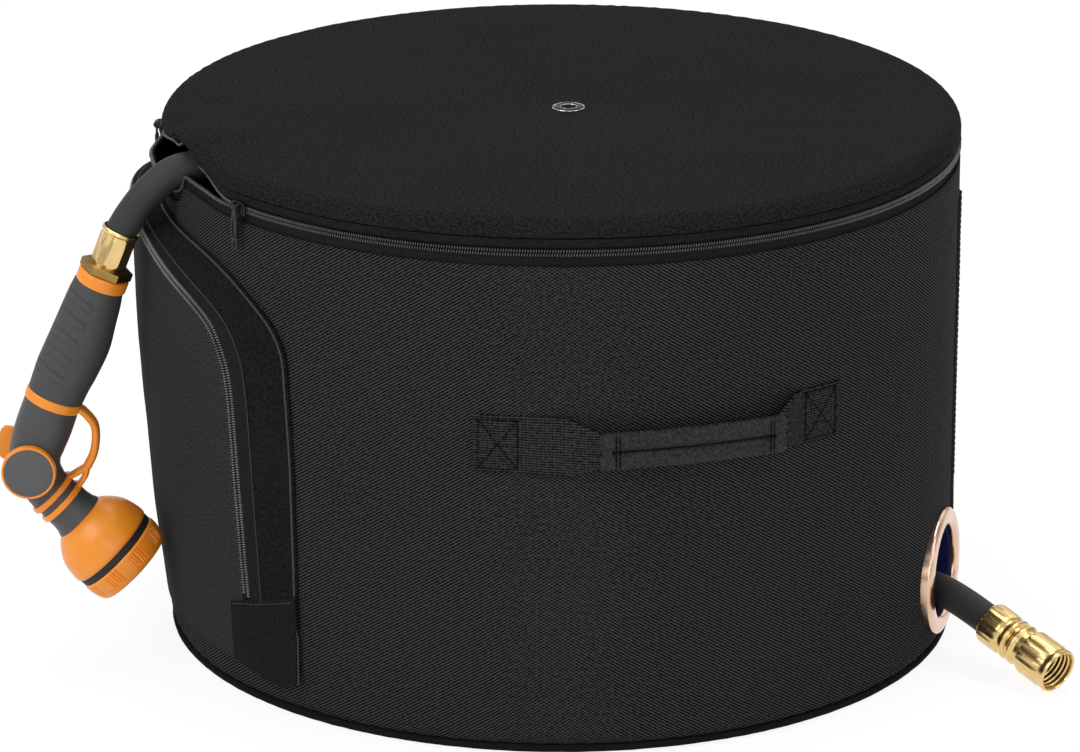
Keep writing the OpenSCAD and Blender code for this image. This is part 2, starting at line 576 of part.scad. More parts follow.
// ---- coupling ----
coupling_o = inlet[0];
coupling_d = unit([39, -42, -16.5]);
module on_coupling() {             // z along the coupling, towards its mouth
  x = unit(cross([0, 0, 1], coupling_d));
  y = cross(coupling_d, x);
  multmatrix([[x[0], y[0], coupling_d[0], coupling_o[0]], [x[1], y[1], coupling_d[1], coupling_o[1]],
    [x[2], y[2], coupling_d[2], coupling_o[2]], [0, 0, 0, 1]]) children();
}
nut_r = nut_d/2;
tail_r = 10;
flange_r = nut_bore/2 - 0.8;
nut_z = 33;
nut_end = nut_z + 3 + 5 + nut_depth + 3;
module coupling_sleeve() {
  color([0.8, 0.62, 0.3]) on_coupling() difference() {
    rotate_extrude() polygon([[hose_r + 0.2, -4], [hose_r + 2.4, -4], [hose_r + 4, -1], [hose_r + 4, 13],
        [hose_r + 2.6, 15.5], [hose_r + 0.2, 15.5]]);
    for (i = [0:11]) rotate([0, 0, 30*i]) translate([hose_r + 4.9, 0, 1]) cylinder(r = 1.7, h = 11, $fn = 24);
  }
}
module coupling_tail() {
  color([0.8, 0.62, 0.3]) on_coupling() rotate_extrude()
    polygon(concat([[6, 14], [hose_r, 14], [hose_r, 15.7], [13.4, 15.7]],
        [for (a = [-60:30:60]) [12.8 + 1.6*cos(a), 19 + 1.9*sin(a)]],
      [[12.2, 21.6], [12.2, 23.4]], [for (a = [-60:30:60]) [12.8 + 1.6*cos(a), 26 + 1.9*sin(a)]],
      [[12.4, 29], [12.4, nut_z - 0.3], [tail_r, nut_z - 0.3], [tail_r, nut_z + 3.3],
          [flange_r, nut_z + 3.3], [flange_r, nut_z + 5], [6, nut_z + 5]]));
}
module coupling_nut() {
  color([0.8, 0.62, 0.3]) on_coupling() difference() {
    rotate_extrude() polygon([[tail_r + run_gap, nut_z], [nut_r - 2, nut_z], [nut_r, nut_z + 2.5],
        [nut_r, nut_end - 3], [nut_r - 0.6, nut_end - 2.6],
      [nut_r - 0.6, nut_end], [nut_bore/2 + 0.4, nut_end], [nut_bore/2, nut_end - 0.4],
          [nut_bore/2, nut_z + 8],
      [nut_bore/2 - 0.3, nut_z + 8], [nut_bore/2 - 0.3, nut_z + 3], [tail_r + run_gap, nut_z + 3]]);
    for (i = [0:11]) rotate([0, 0, 30*i]) translate([nut_r + 1, 0, nut_z + 4]) cylinder(r = 1.8,
        h = nut_end - nut_z - 9, $fn = 24);
  }
}
module coupling_washer() {
  color([0.1, 0.1, 0.1]) on_coupling() rotate_extrude() block(6.4, flange_r, nut_z + 5, nut_z + 7.6);
}

// ---- nozzle ----
module on_nozzle() {               // z down the grip, x towards the nozzle's left, y to the back
  x = [nozzle_d[2], 0, -nozzle_d[0]];
  y = cross(nozzle_d, x);
  multmatrix([[x[0], y[0], nozzle_d[0], nozzle_o[0]], [x[1], y[1], nozzle_d[1], nozzle_o[1]],
    [x[2], y[2], nozzle_d[2], nozzle_o[2]], [0, 0, 0, 1]]) children();
}
cap_z = 172;                       // the cap's middle, down the grip
module nozzle_ferrule() {
  color([0.8, 0.66, 0.32]) on_nozzle() rotate_extrude()
    polygon([[hose_r + 0.2, 0], [hose_r + 1.2, -0.8], [hose_r + 2, 0.2], [hose_r + 1.2, 1.6],
        [hose_r + 1.2, 25], [6, 25], [6, 12.1], [hose_r + 0.2, 12.1]]);
}
module nozzle_hex() {
  color([0.62, 0.52, 0.3]) on_nozzle() translate([0, 0, 25]) difference() {
    cylinder(r = 17.6, h = 6, $fn = 6);
    translate([0, 0, -1]) cylinder(r = 6, h = 8);
  }
}
module nozzle_collar() {
  color([1, 0.5, 0.08]) on_nozzle() translate([0, 0, 31]) rotate_extrude() polygon([[5, 0], [16.2, 0],
      [17, 1], [17, 7.8], [16.4, 8.8], [5, 8.8]]);
}
function oval(a, b, n) = [for (k = [0:n - 1]) [a*cos(360*k/n), b*sin(360*k/n)]];
module nozzle_grip() {             // rows of distance, middle, half width, half depth
  s = [[39.9, 0.8, 16.6, 15.5], [50, 0.4, 18, 16.2], [62, 0, 19, 17], [80, -0.6, 20.4, 18],
      [100, 0.6, 20.2, 18], [110, 1.2, 19.4, 17.6], [121.4, 1.4, 18.6, 17.2]];
  color([0.16, 0.16, 0.17]) on_nozzle() skin_rows([for (q = s) [for (p = oval(q[2], q[3], 28))
    [p[0] + q[1], p[1], q[0]]]], false);
}
module nozzle_band() {
  color([1, 0.5, 0.08]) on_nozzle() skin_rows([for (z = [121.5, 128])
    [for (p = oval(18.9, 17.6, 28)) [p[0] + 1.6, p[1], z]]], false);
}
// Elbow: rows of middle (x, height over the head's back), way it runs (degrees in the XZ plane),
// half width, half depth
elbow = [[-333.9, 79.4, 248.5, 18.4, 17.2], [-339.5, 64, 250, 18.6, 17], [-344, 51, 256, 17.8, 16.8],
  [-346, 40, 275, 17, 16.6], [-343.5, 29, 298, 16, 15.8], [-337.9, 19.9, 315, 15.4, 15.4]];
head_o = [-318, -88, nozzle_o[2] - 198];
module nozzle_body() {
  color([0.2, 0.2, 0.21]) skin_rows([for (q = elbow) [for (p = oval(q[3], q[4], 28))
    [q[0] + p[0]*sin(q[2]), nozzle_o[1] + p[1], head_o[2] + q[1] - p[0]*cos(q[2])]]], false);
}
body_d = 17;                       // half depth of the elbow at the cap
pivot_r = 4;                       // pin the lever turns on
module nozzle_cap() {
  color([0.2, 0.2, 0.21]) on_nozzle() translate([0, 0, cap_z]) rotate([90, 0, 0]) {
    rotate_extrude() polygon([[0, body_d], [cap_r - 1, body_d], [cap_r, body_d + 1], [cap_r, body_d + 4],
        [cap_r - 1.4, body_d + 5.4], [0, body_d + 5.4]]);
    rotate([180, 0, 0]) rotate_extrude() polygon([[0, body_d], [pivot_r, body_d], [pivot_r, body_d + 4.6],
      [pivot_r + 3, body_d + 4.6], [pivot_r + 2.6, body_d + 6], [0, body_d + 6.4]]);
  }
}
module nozzle_lever() {
  color([1, 0.5, 0.08]) on_nozzle() translate([0, 0, cap_z]) rotate([90, 0, 0]) translate([0, 0,
      -body_d - 4.3]) difference() {
    union() {
      cylinder(r = cap_r - 1.2, h = 4, $fn = 64);
      translate([6, -12, 0]) cube([20, 22, 4]);
    }
    translate([0, 0, -1]) cylinder(r = pivot_r + run_gap, h = 6);
  }
}
module nozzle_guard() {
  color([1, 0.5, 0.08]) on_nozzle() rotate([90, 0, 0]) translate([0, 0, -6]) linear_extrude(12)
    polygon([[-17.2, 121], [-19.1, 122], [-29.7, 128.5], [-35.4, 139], [-38.3, 153], [-37, 164],
        [-31.4, 172.4], [-27.4, 169.6],
      [-32, 157], [-33.2, 146], [-29.2, 136], [-18, 128.4], [-17.2, 128]]);
}
head_dir = unit([1, 0, -1]);
module on_head() {                 // z towards the spray face
  multmatrix([[-head_dir[2], 0, head_dir[0], head_o[0]], [0, 1, 0, head_o[1]],
      [head_dir[0], 0, head_dir[2], head_o[2]], [0, 0, 0, 1]]) children();
}
module nozzle_neck() {
  color([0.2, 0.2, 0.21]) on_head() rotate_extrude()
    polygon([[0, -28], [15.4, -28], [17.4, -26], [17.4, -20.4], [15.4, -19.6], [15.4, -18.4], [17, -17.6],
        [17, -9.6], [15.8, -9], [16.2, -3], [17.8, -0.1], [0, -0.1]]);
}
head_r = head_d/2;
face_r = face_d/2;
module nozzle_head() {
  color([1, 0.5, 0.08]) on_head() rotate_extrude()
    polygon([[4, 0], [18.2, 0], [23, 5], [28.6, 12], [head_r - 1, 20], [head_r, 26], [head_r, 28.6],
        [head_r - 0.8, 29.6], [face_r - 4, 29.6], [face_r - 4, 33], [4, 33]]);
}
module nozzle_ring() { color([0.16, 0.16, 0.17]) on_head() rotate_extrude() block(face_r - 3.9, head_r - 1,
    29.7, 34.4); }
module nozzle_face_ring() {
  color([1, 0.5, 0.08]) on_head() rotate_extrude()
    polygon([[face_r - 6, 34.6], [head_r - 0.6, 34.6], [head_r - 0.2, 35.4], [head_r - 0.2, 38],
        [head_r - 1, 43], [face_r, 49], [face_r - 1, 50.4], [face_r - 6, 50.4]]);
}
module nozzle_plate() {
  color([0.16, 0.16, 0.17]) on_head() rotate_extrude() polygon([[0, 33.2], [face_r - 6.2, 33.2],
      [face_r - 6.2, 46], [face_r - 7, 47], [0, 48]]);
}

base_panel();
base_board();
base_piping();
wall_front();
wall_back();
wall_foam();
wall_lining();
seam_strip();
rim_band();
zip_lower();
zip_upper();
lid_panel();
lid_piping();
lid_skirt();
lid_board();
lid_lining();
lid_eyelet();
lid_eyelet_washer();
lid_hinge_strip();
hinge_band();
zip_slider_front();
zip_pull_front();
zip_slider_left();
zip_pull_left();
pocket_panel();
pocket_gusset();
pocket_zip_outer();
pocket_zip_inner();
pocket_slider();
pocket_pull();
pocket_corner_right();
pocket_corner_left();
handle_front_webbing();
handle_front_grip();
handle_back_webbing();
handle_back_grip();
port_ring_front();
port_ring_back();
port_sleeve();
hose_outlet();
hose_coil();
hose_inlet();
coupling_sleeve();
coupling_tail();
coupling_nut();
coupling_washer();
nozzle_ferrule();
nozzle_hex();
nozzle_collar();
nozzle_grip();
nozzle_band();
nozzle_body();
nozzle_guard();
nozzle_cap();
nozzle_lever();
nozzle_neck();
nozzle_head();
nozzle_ring();
nozzle_face_ring();
nozzle_plate();
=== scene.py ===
import math

import bmesh
import bpy
from mathutils import Matrix, Vector, noise


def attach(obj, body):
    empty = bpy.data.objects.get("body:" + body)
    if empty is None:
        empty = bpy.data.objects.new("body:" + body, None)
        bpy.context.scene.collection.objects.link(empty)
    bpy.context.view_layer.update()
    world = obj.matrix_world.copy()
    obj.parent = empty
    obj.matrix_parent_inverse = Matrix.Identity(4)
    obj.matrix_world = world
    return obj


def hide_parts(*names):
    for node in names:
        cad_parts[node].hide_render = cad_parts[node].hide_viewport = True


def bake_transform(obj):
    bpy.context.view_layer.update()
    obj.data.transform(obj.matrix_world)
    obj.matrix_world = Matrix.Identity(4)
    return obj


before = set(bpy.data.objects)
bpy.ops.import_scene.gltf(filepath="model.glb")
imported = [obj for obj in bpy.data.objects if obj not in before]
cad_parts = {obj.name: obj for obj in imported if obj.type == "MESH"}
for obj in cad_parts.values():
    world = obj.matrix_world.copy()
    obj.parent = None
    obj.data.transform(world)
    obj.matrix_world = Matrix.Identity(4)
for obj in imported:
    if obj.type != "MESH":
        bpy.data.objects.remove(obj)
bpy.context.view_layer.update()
print("stage: frame loaded,", len(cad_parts), "nodes")

# sizes in mm, as in the part's source; angles count from the front towards the right
mm = 0.001
pot = {"radius": 264.0, "skin": 2.0, "height": 355.5, "zipZ": 334.0, "bandTop": 325.0}


def at(th, r, z):
    t = math.radians(th)
    return Vector((r * math.sin(t), -r * math.cos(t), z))


def ease(x):
    t = min(1.0, max(0.0, x))
    return t * t * (3 - 2 * t)


# camera
cameraSet = {"place": (0.0, -3.4693, 1.3435), "down": 18.767, "left": 0.229, "lens": 181.73}
camData = bpy.data.cameras.new("camera")
camData.lens = cameraSet["lens"]
camData.sensor_width = 36
camData.sensor_fit = "HORIZONTAL"
cam = bpy.data.objects.new("camera", camData)
cam.location = cameraSet["place"]
cam.rotation_euler = (math.radians(90 - cameraSet["down"]), 0, math.radians(cameraSet["left"]))
bpy.context.collection.objects.link(cam)
bpy.context.scene.camera = cam


# mesh helpers
def newObject(name, mesh, mat=None):
    obj = bpy.data.objects.new(name, mesh)
    bpy.context.collection.objects.link(obj)
    if mat:
        mesh.materials.append(mat)
    return obj


def smoothShade(mesh, angle=None):
    for p in mesh.polygons:
        p.use_smooth = True
    if angle:
        mesh.set_sharp_from_angle(angle=math.radians(angle))


def gridMesh(name, rows, ring=False, tube=True, caps=True, mat=None, sharp=None):
    # skin over rows of points in mm; its map runs along the rows and across them
    n, m = len(rows), len(rows[0])
    rowSteps, pointSteps = (n if ring else n - 1), (m if tube else m - 1)
    verts = [Vector(p) * mm for r in rows for p in r]
    faces, uvs = [], []
    along, across = [0.0], [0.0]
    for i in range(rowSteps):
        a, b = Vector(rows[i][m // 4]), Vector(rows[(i + 1) % n][m // 4])
        along.append(along[-1] + (b - a).length * mm)
    mid = rows[n // 2]
    for j in range(pointSteps):
        across.append(across[-1] + (Vector(mid[(j + 1) % m]) - Vector(mid[j])).length * mm)
    for i in range(rowSteps):
        here, there = i * m, ((i + 1) % n) * m
        for j in range(pointSteps):
            k = (j + 1) % m
            faces.append((here + j, here + k, there + k, there + j))
            uvs += [(along[i], across[j]), (along[i], across[j + 1]),
                    (along[i + 1], across[j + 1]), (along[i + 1], across[j])]
    if tube and caps and not ring:
        for loop in (range(m - 1, -1, -1), range((n - 1) * m, n * m)):
            faces.append(tuple(loop))
            uvs += [(verts[k].x, verts[k].z) for k in loop]
    mesh = bpy.data.meshes.new(name)
    mesh.from_pydata(verts, [], faces)
    layer = mesh.uv_layers.new(name="cloth")
    layer.data.foreach_set("uv", [c for uv in uvs for c in uv])
    obj = faceOut(newObject(name, mesh, mat))
    smoothShade(obj.data, sharp)
    return obj


def faceOut(obj):
    # doubles merged and every face turned outwards
    b = bmesh.new()
    b.from_mesh(obj.data)
    bmesh.ops.remove_doubles(b, verts=b.verts, dist=1e-7)
    bmesh.ops.recalc_face_normals(b, faces=b.faces)
    b.to_mesh(obj.data)
    b.free()
    return obj


def applied(obj):
    # the object with its modifiers made into plain mesh
    graph = bpy.context.evaluated_depsgraph_get()
    mesh = bpy.data.meshes.new_from_object(obj.evaluated_get(graph), preserve_all_data_layers=True,
                                           depsgraph=graph)
    obj.modifiers.clear()
    old = obj.data
    obj.data = mesh
    bpy.data.meshes.remove(old)
    return obj


def turns(n):
    return [2 * math.pi * k / n for k in range(n)]


def lathe(name, profile, place, sides=64, mat=None, closed=False, sharp=35, wave=None):
    # profile of (radius, height) in mm, turned round the z of place; wave changes the radius
    rows = []
    for a in turns(sides):
        row = []
        for r, z in profile:
            q = r + (wave(a, r, z) if wave else 0.0)
            row.append(place @ Vector((q * math.cos(a), q * math.sin(a), z)))
        rows.append(row)
    return gridMesh(name, rows, ring=True, tube=closed, caps=False, mat=mat, sharp=sharp)


def merge(name, parts):
    # several mesh objects as one piece
    b = bmesh.new()
    mats = []
    for p in parts:
        first = len(b.faces)
        b.from_mesh(p.data)
        b.faces.ensure_lookup_table()
        slots = []
        for m in p.data.materials:
            if m not in mats:
                mats.append(m)
            slots.append(mats.index(m))
        for f in b.faces[first:]:
            if slots:
                f.material_index = slots[min(f.material_index, len(slots) - 1)]
    mesh = bpy.data.meshes.new(name)
    b.to_mesh(mesh)
    b.free()
    for m in mats:
        mesh.materials.append(m)
    for p in parts:
        bpy.data.objects.remove(p)
    return newObject(name, mesh)


def finishPiece(obj, body, slotName=None, *nodes):
    # the CAD nodes it stands for, the body it moves with and its slot, which is not used
    if nodes:
        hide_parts(*nodes)
    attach(obj, body)
    return obj


def paintNodes(mat, *nodes):
    # CAD nodes that are shown as they are
    for node in nodes:
        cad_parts[node].data.materials.clear()
        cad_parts[node].data.materials.append(mat)


def mapUv(obj, place):
    # the cloth's map, from each corner's point in metres
    layer = obj.data.uv_layers["cloth"]
    for loop in obj.data.loops:
        layer.data[loop.index].uv = place(obj.data.vertices[loop.vertex_index].co)


def flatUv(obj):
    mapUv(obj, lambda co: (co.x, co.y))


# node helpers
def makeMaterial(name):
    mat = bpy.data.materials.new(name)
    mat.use_nodes = True
    tree = mat.node_tree
    return mat, tree, tree.nodes["Principled BSDF"]


def addNode(tree, kind, inputs=None, **settings):
    node = tree.nodes.new(kind)
    for key, value in settings.items():
        setattr(node, key, value)
    for key, value in (inputs or {}).items():
        socket = node.inputs[key]
        if isinstance(value, bpy.types.NodeSocket):
            tree.links.new(value, socket)
        else:
            socket.default_value = value
    return node


def mathNode(tree, how, a, b=0.0, c=None):
    inputs = {0: a, 1: b} if c is None else {0: a, 1: b, 2: c}
    return addNode(tree, "ShaderNodeMath", inputs, operation=how).outputs[0]


def mixColour(tree, factor, a, b):
    return addNode(tree, "ShaderNodeMix", {0: factor, 6: a, 7: b}, data_type="RGBA").outputs[2]


def rgb(r, g, b):
    # screen colour 0 to 255 as the linear colour a socket takes
    def linear(c):
        c /= 255
        return c / 12.92 if c <= 0.04045 else ((c + 0.055) / 1.055) ** 2.4
    return (linear(r), linear(g), linear(b), 1.0)


def spot(tree, useUv, turn=(0, 0, 0), scale=(1, 1, 1)):
    # where a pattern is read: the cloth's own map, or the object
    if useUv:
        source = addNode(tree, "ShaderNodeUVMap", uv_map="cloth").outputs[0]
    else:
        source = addNode(tree, "ShaderNodeTexCoord").outputs["Object"]
    inputs = {"Vector": source, "Rotation": turn, "Scale": scale}
    return addNode(tree, "ShaderNodeMapping", inputs).outputs[0]


def noiseNode(tree, where, scale, detail=2.0, rough=0.5):
    inputs = {"Vector": where, "Scale": scale, "Detail": detail, "Roughness": rough}
    return addNode(tree, "ShaderNodeTexNoise", inputs).outputs["Fac"]


waveScale = 0.314  # the wave texture's scale times its pitch in metres


def ribNode(tree, where, pitch, way="X"):
    # one rib of yarn every pitch mm
    inputs = {"Vector": where, "Scale": waveScale / (pitch * mm), "Distortion": 0.0}
    return addNode(tree, "ShaderNodeTexWave", inputs, wave_type="BANDS", bands_direction=way).outputs["Fac"]


def bumpNode(tree, shader, height, strength, distance):
    inputs = {"Height": height, "Strength": strength, "Distance": distance * mm}
    tree.links.new(addNode(tree, "ShaderNodeBump", inputs).outputs[0], shader.inputs["Normal"])


def around(tree, value, middle, amount):
    # how far a value is from its middle, times an amount
    return mathNode(tree, "MULTIPLY", mathNode(tree, "SUBTRACT", value, middle), amount)


clothLook = {"uv": True, "wander": 0.0015, "mirror": False, "patch": 9.0, "speck": 0.5, "fuzz": 900.0,
             "grain": 0.5, "grainScale": 420.0, "rough": 0.82, "shine": 0.03, "bump": 0.35, "depth": 0.25}


def clothMaterial(name, changes):
    # woven cloth: slanting ribs of yarn, crossed by a finer weft, with soft colour changes and lint
    look = {**clothLook, **changes}
    mat, tree, shader = makeMaterial(name)
    flat = spot(tree, look["uv"])
    wobble = noiseNode(tree, flat, 14.0, 2.0)
    slant = spot(tree, look["uv"], (0, 0, math.radians(look["slant"])))
    bent = addNode(tree, "ShaderNodeVectorMath", {0: slant}, operation="ADD")
    shift = addNode(tree, "ShaderNodeCombineXYZ", {0: mathNode(tree, "MULTIPLY", wobble, look["wander"])})
    tree.links.new(shift.outputs[0], bent.inputs[1])
    rib = ribNode(tree, bent.outputs[0], look["pitch"])
    weft = ribNode(tree, bent.outputs[0], look["weft"], "Y")
    if look["mirror"]:  # the weave leans the other way on the left half, with a crossed zone between
        other = spot(tree, look["uv"], (0, 0, math.radians(-look["slant"])))
        otherRib = ribNode(tree, other, look["pitch"])
        place = addNode(tree, "ShaderNodeTexCoord").outputs["Object"]
        side = addNode(tree, "ShaderNodeSeparateXYZ", {0: place}).outputs[0]
        side = mathNode(tree, "ADD", mathNode(tree, "MULTIPLY_ADD", side, 9.0, 0.5),
                        mathNode(tree, "MULTIPLY_ADD", wobble, 0.8, -0.4))
        side = addNode(tree, "ShaderNodeClamp", {"Value": side}).outputs[0]
        rest = mathNode(tree, "SUBTRACT", 1.0, side)
        rib = mathNode(tree, "ADD", mathNode(tree, "MULTIPLY", rib, side),
                       mathNode(tree, "MULTIPLY", otherRib, rest))
    yarn = mathNode(tree, "MULTIPLY", rib, mathNode(tree, "MULTIPLY_ADD", weft, 0.45, 0.55))
    patch = noiseNode(tree, flat, look["patch"], 3.0, 0.55)
    fuzz = noiseNode(tree, flat, look["fuzz"], 1.0)
    grain = noiseNode(tree, flat, look["grainScale"], 2.0, 0.6)
    strength = mathNode(tree, "MULTIPLY", mathNode(tree, "MULTIPLY_ADD", patch, 1.1, 0.05),
                        look["contrast"])
    light = around(tree, yarn, 0.38, strength)
    tone = mathNode(tree, "ADD", mathNode(tree, "MULTIPLY_ADD", patch, 0.3, 0.36), light)
    tone = mathNode(tree, "ADD", tone, around(tree, fuzz, 0.5, look["speck"]))
    tone = mathNode(tree, "ADD", tone, around(tree, grain, 0.5, look["grain"]))
    tree.links.new(mixColour(tree, tone, look["dark"], look["bright"]), shader.inputs["Base Color"])
    shader.inputs["Roughness"].default_value = look["rough"]
    shader.inputs["Specular IOR Level"].default_value = look["shine"]
    height = mathNode(tree, "ADD", yarn, mathNode(tree, "MULTIPLY", fuzz, 0.5))
    bumpNode(tree, shader, height, look["bump"], look["depth"])
    return mat


metalLook = {"cloud": 70.0, "metal": 1.0, "vary": 0.12, "bump": 0.08, "scratch": 260.0}


def metalMaterial(name, changes):
    # polished or satin metal: cloudy roughness, fine scratches, a little tarnish
    look = {**metalLook, **changes}
    mat, tree, shader = makeMaterial(name)
    cloud = noiseNode(tree, spot(tree, False), look["cloud"], 4.0, 0.6)
    scratch = noiseNode(tree, spot(tree, False, (0.4, 0.2, 0.7), (1, 14, 1)), look["scratch"], 3.0, 0.6)
    tree.links.new(mixColour(tree, cloud, look["bright"], look["dark"]), shader.inputs["Base Color"])
    shader.inputs["Metallic"].default_value = look["metal"]
    rough = mathNode(tree, "MULTIPLY_ADD", mathNode(tree, "ADD", cloud, scratch), look["vary"],
                     look["rough"])
    tree.links.new(rough, shader.inputs["Roughness"])
    bumpNode(tree, shader, scratch, look["bump"], 0.05)
    return mat


plasticLook = {"grain": 1400.0, "patch": 30.0, "vary": 0.16, "shine": 0.5, "bump": 0.12}


def plasticMaterial(name, changes):
    # moulded plastic or rubber: fine spark texture, slightly uneven tone, rubbed patches
    look = {**plasticLook, **changes}
    mat, tree, shader = makeMaterial(name)
    where = spot(tree, False)
    grain = noiseNode(tree, where, look["grain"], 2.0)
    tone = noiseNode(tree, where, look["patch"], 3.0, 0.6)
    tree.links.new(mixColour(tree, tone, look["dark"], look["bright"]), shader.inputs["Base Color"])
    rough = mathNode(tree, "MULTIPLY_ADD", tone, look["vary"], look["rough"])
    tree.links.new(rough, shader.inputs["Roughness"])
    shader.inputs["Specular IOR Level"].default_value = look["shine"]
    bumpNode(tree, shader, grain, look["bump"], 0.06)
    return mat


twill = clothMaterial("twill", {"pitch": 1.85, "weft": 1.0, "slant": -58, "contrast": 3.0,
                                "dark": rgb(2, 2, 3), "bright": rgb(66, 66, 69), "mirror": True,
                                "grain": 1.4})
twillLid = clothMaterial("twillLid", {"pitch": 1.1, "weft": 0.8, "slant": 40, "contrast": 1.6,
                                      "dark": rgb(8, 8, 9), "bright": rgb(48, 48, 50), "patch": 6,
                                      "grain": 2.4, "grainScale": 480.0, "shine": 0.02})
pocketCloth = clothMaterial("pocketCloth",
                            {"pitch": 0.9, "weft": 0.8, "slant": 52, "contrast": 0.6,
                             "dark": rgb(20, 20, 22), "bright": rgb(66, 66, 69), "speck": 1.6})
gussetCloth = clothMaterial("gussetCloth",
                            {"pitch": 1.1, "weft": 0.8, "slant": 40, "contrast": 1.4, "dark": rgb(4, 4, 4),
                             "bright": rgb(40, 40, 41), "grain": 1.5})
skirtCloth = clothMaterial("skirtCloth",
                           {"pitch": 1.0, "weft": 0.7, "slant": 45, "contrast": 1.2, "dark": rgb(6, 6, 7),
                            "bright": rgb(44, 44, 45), "grain": 1.2})
tapeCloth = clothMaterial("tapeCloth",
                          {"pitch": 1.2, "weft": 1.2, "slant": 0, "contrast": 0.6, "dark": rgb(10, 10, 11),
                           "bright": rgb(46, 46, 48), "bump": 0.5})
webCloth = clothMaterial("webCloth", {"pitch": 1.7, "weft": 2.4, "slant": 90, "contrast": 2.0,
                                      "dark": rgb(3, 3, 4), "bright": rgb(66, 66, 67), "bump": 0.9,
                                      "depth": 0.5, "grain": 2.0, "wander": 0.004})
gripCloth = clothMaterial("gripCloth",
                          {"pitch": 1.4, "weft": 1.4, "slant": 35, "contrast": 2.0, "dark": rgb(4, 4, 5),
                           "bright": rgb(62, 62, 64), "grain": 2.0, "shine": 0.15, "rough": 0.6})
pipingCloth = clothMaterial("pipingCloth",
                            {"pitch": 1.0, "weft": 0.8, "slant": 55, "contrast": 0.5, "dark": rgb(8, 8, 9),
                             "bright": rgb(38, 38, 39)})
liningCloth = clothMaterial("liningCloth",
                            {"pitch": 0.8, "weft": 0.7, "slant": 0, "contrast": 0.35,
                             "dark": rgb(36, 36, 40), "bright": rgb(72, 72, 78), "rough": 0.6,
                             "shine": 0.35})
navyCloth = clothMaterial("navyCloth",
                          {"pitch": 1.1, "weft": 0.9, "slant": 45, "contrast": 0.4, "dark": rgb(12, 15, 52),
                           "bright": rgb(44, 52, 112), "rough": 0.6})
foamCloth = clothMaterial("foamCloth",
                          {"pitch": 2.1, "weft": 2.0, "slant": 30, "contrast": 0.3,
                           "dark": rgb(120, 120, 122), "bright": rgb(170, 170, 172)})
thread = clothMaterial("thread", {"pitch": 0.5, "weft": 0.5, "slant": 45, "contrast": 0.5,
                                  "dark": rgb(24, 24, 25), "bright": rgb(74, 74, 76), "rough": 0.6,
                                  "shine": 0.35, "uv": False})
coilNylon = plasticMaterial("coilNylon",
                            {"dark": rgb(16, 16, 17), "bright": rgb(66, 66, 69), "rough": 0.2,
                             "shine": 0.75})
# a lighter copy of coilNylon for the pocket's teeth: a painted highlight for their glints
paintedGlintNylon = plasticMaterial("paintedGlintNylon",
                              {"dark": rgb(50, 50, 52), "bright": rgb(124, 124, 126), "rough": 0.25,
                               "shine": 0.8})
blackThread = clothMaterial("blackThread",
                            {"pitch": 0.5, "weft": 0.5, "slant": 45, "contrast": 0.5, "dark": rgb(2, 2, 2),
                             "bright": rgb(16, 16, 17), "uv": False})
zipMetal = metalMaterial("zipMetal", {"dark": rgb(20, 20, 22), "bright": rgb(52, 52, 56), "rough": 0.26,
                                      "metal": 0.7})
eyeletMetal = metalMaterial("eyeletMetal",
                            {"dark": rgb(24, 24, 25), "bright": rgb(60, 60, 62), "rough": 0.2})
# bright metal for the eyelet's edges: a painted highlight
eyeletHighlightMetal = metalMaterial("eyeletHighlightMetal", {"dark": rgb(190, 190, 190), "bright": rgb(240, 240, 240),
                                      "rough": 0.1})
portMetal = metalMaterial("portMetal",
                          {"dark": rgb(206, 166, 140), "bright": rgb(240, 208, 186), "rough": 0.12,
                           "vary": 0.08})
brass = metalMaterial("brass", {"dark": rgb(205, 165, 96), "bright": rgb(246, 220, 160), "rough": 0.12,
                                "cloud": 40.0})
bronze = metalMaterial("bronze", {"dark": rgb(120, 96, 48), "bright": rgb(172, 142, 82), "rough": 0.2,
                                  "cloud": 50.0})
hoseRubber = plasticMaterial("hoseRubber",
                             {"dark": rgb(38, 38, 39), "bright": rgb(58, 58, 59), "rough": 0.5,
                              "shine": 0.35, "grain": 900.0})
gripRubber = plasticMaterial("gripRubber",
                             {"dark": rgb(58, 58, 59), "bright": rgb(80, 80, 81), "rough": 0.5,
                              "shine": 0.4})
greyPlastic = plasticMaterial("greyPlastic",
                              {"dark": rgb(60, 61, 63), "bright": rgb(80, 81, 83), "rough": 0.38,
                               "shine": 0.45})
capPlastic = plasticMaterial("capPlastic",
                             {"dark": rgb(84, 84, 86), "bright": rgb(100, 100, 102), "rough": 0.5,
                              "shine": 0.4})
orangePlastic = plasticMaterial("orangePlastic",
                                {"dark": rgb(255, 134, 20), "bright": rgb(255, 168, 52), "rough": 0.24,
                                 "shine": 0.5})
washerRubber = plasticMaterial("washerRubber",
                               {"dark": rgb(14, 14, 14), "bright": rgb(30, 30, 30), "rough": 0.6})
boardSheet = plasticMaterial("boardSheet",
                             {"dark": rgb(46, 46, 48), "bright": rgb(66, 66, 68), "rough": 0.7,
                              "grain": 500.0, "bump": 0.3})
print("stage: materials")


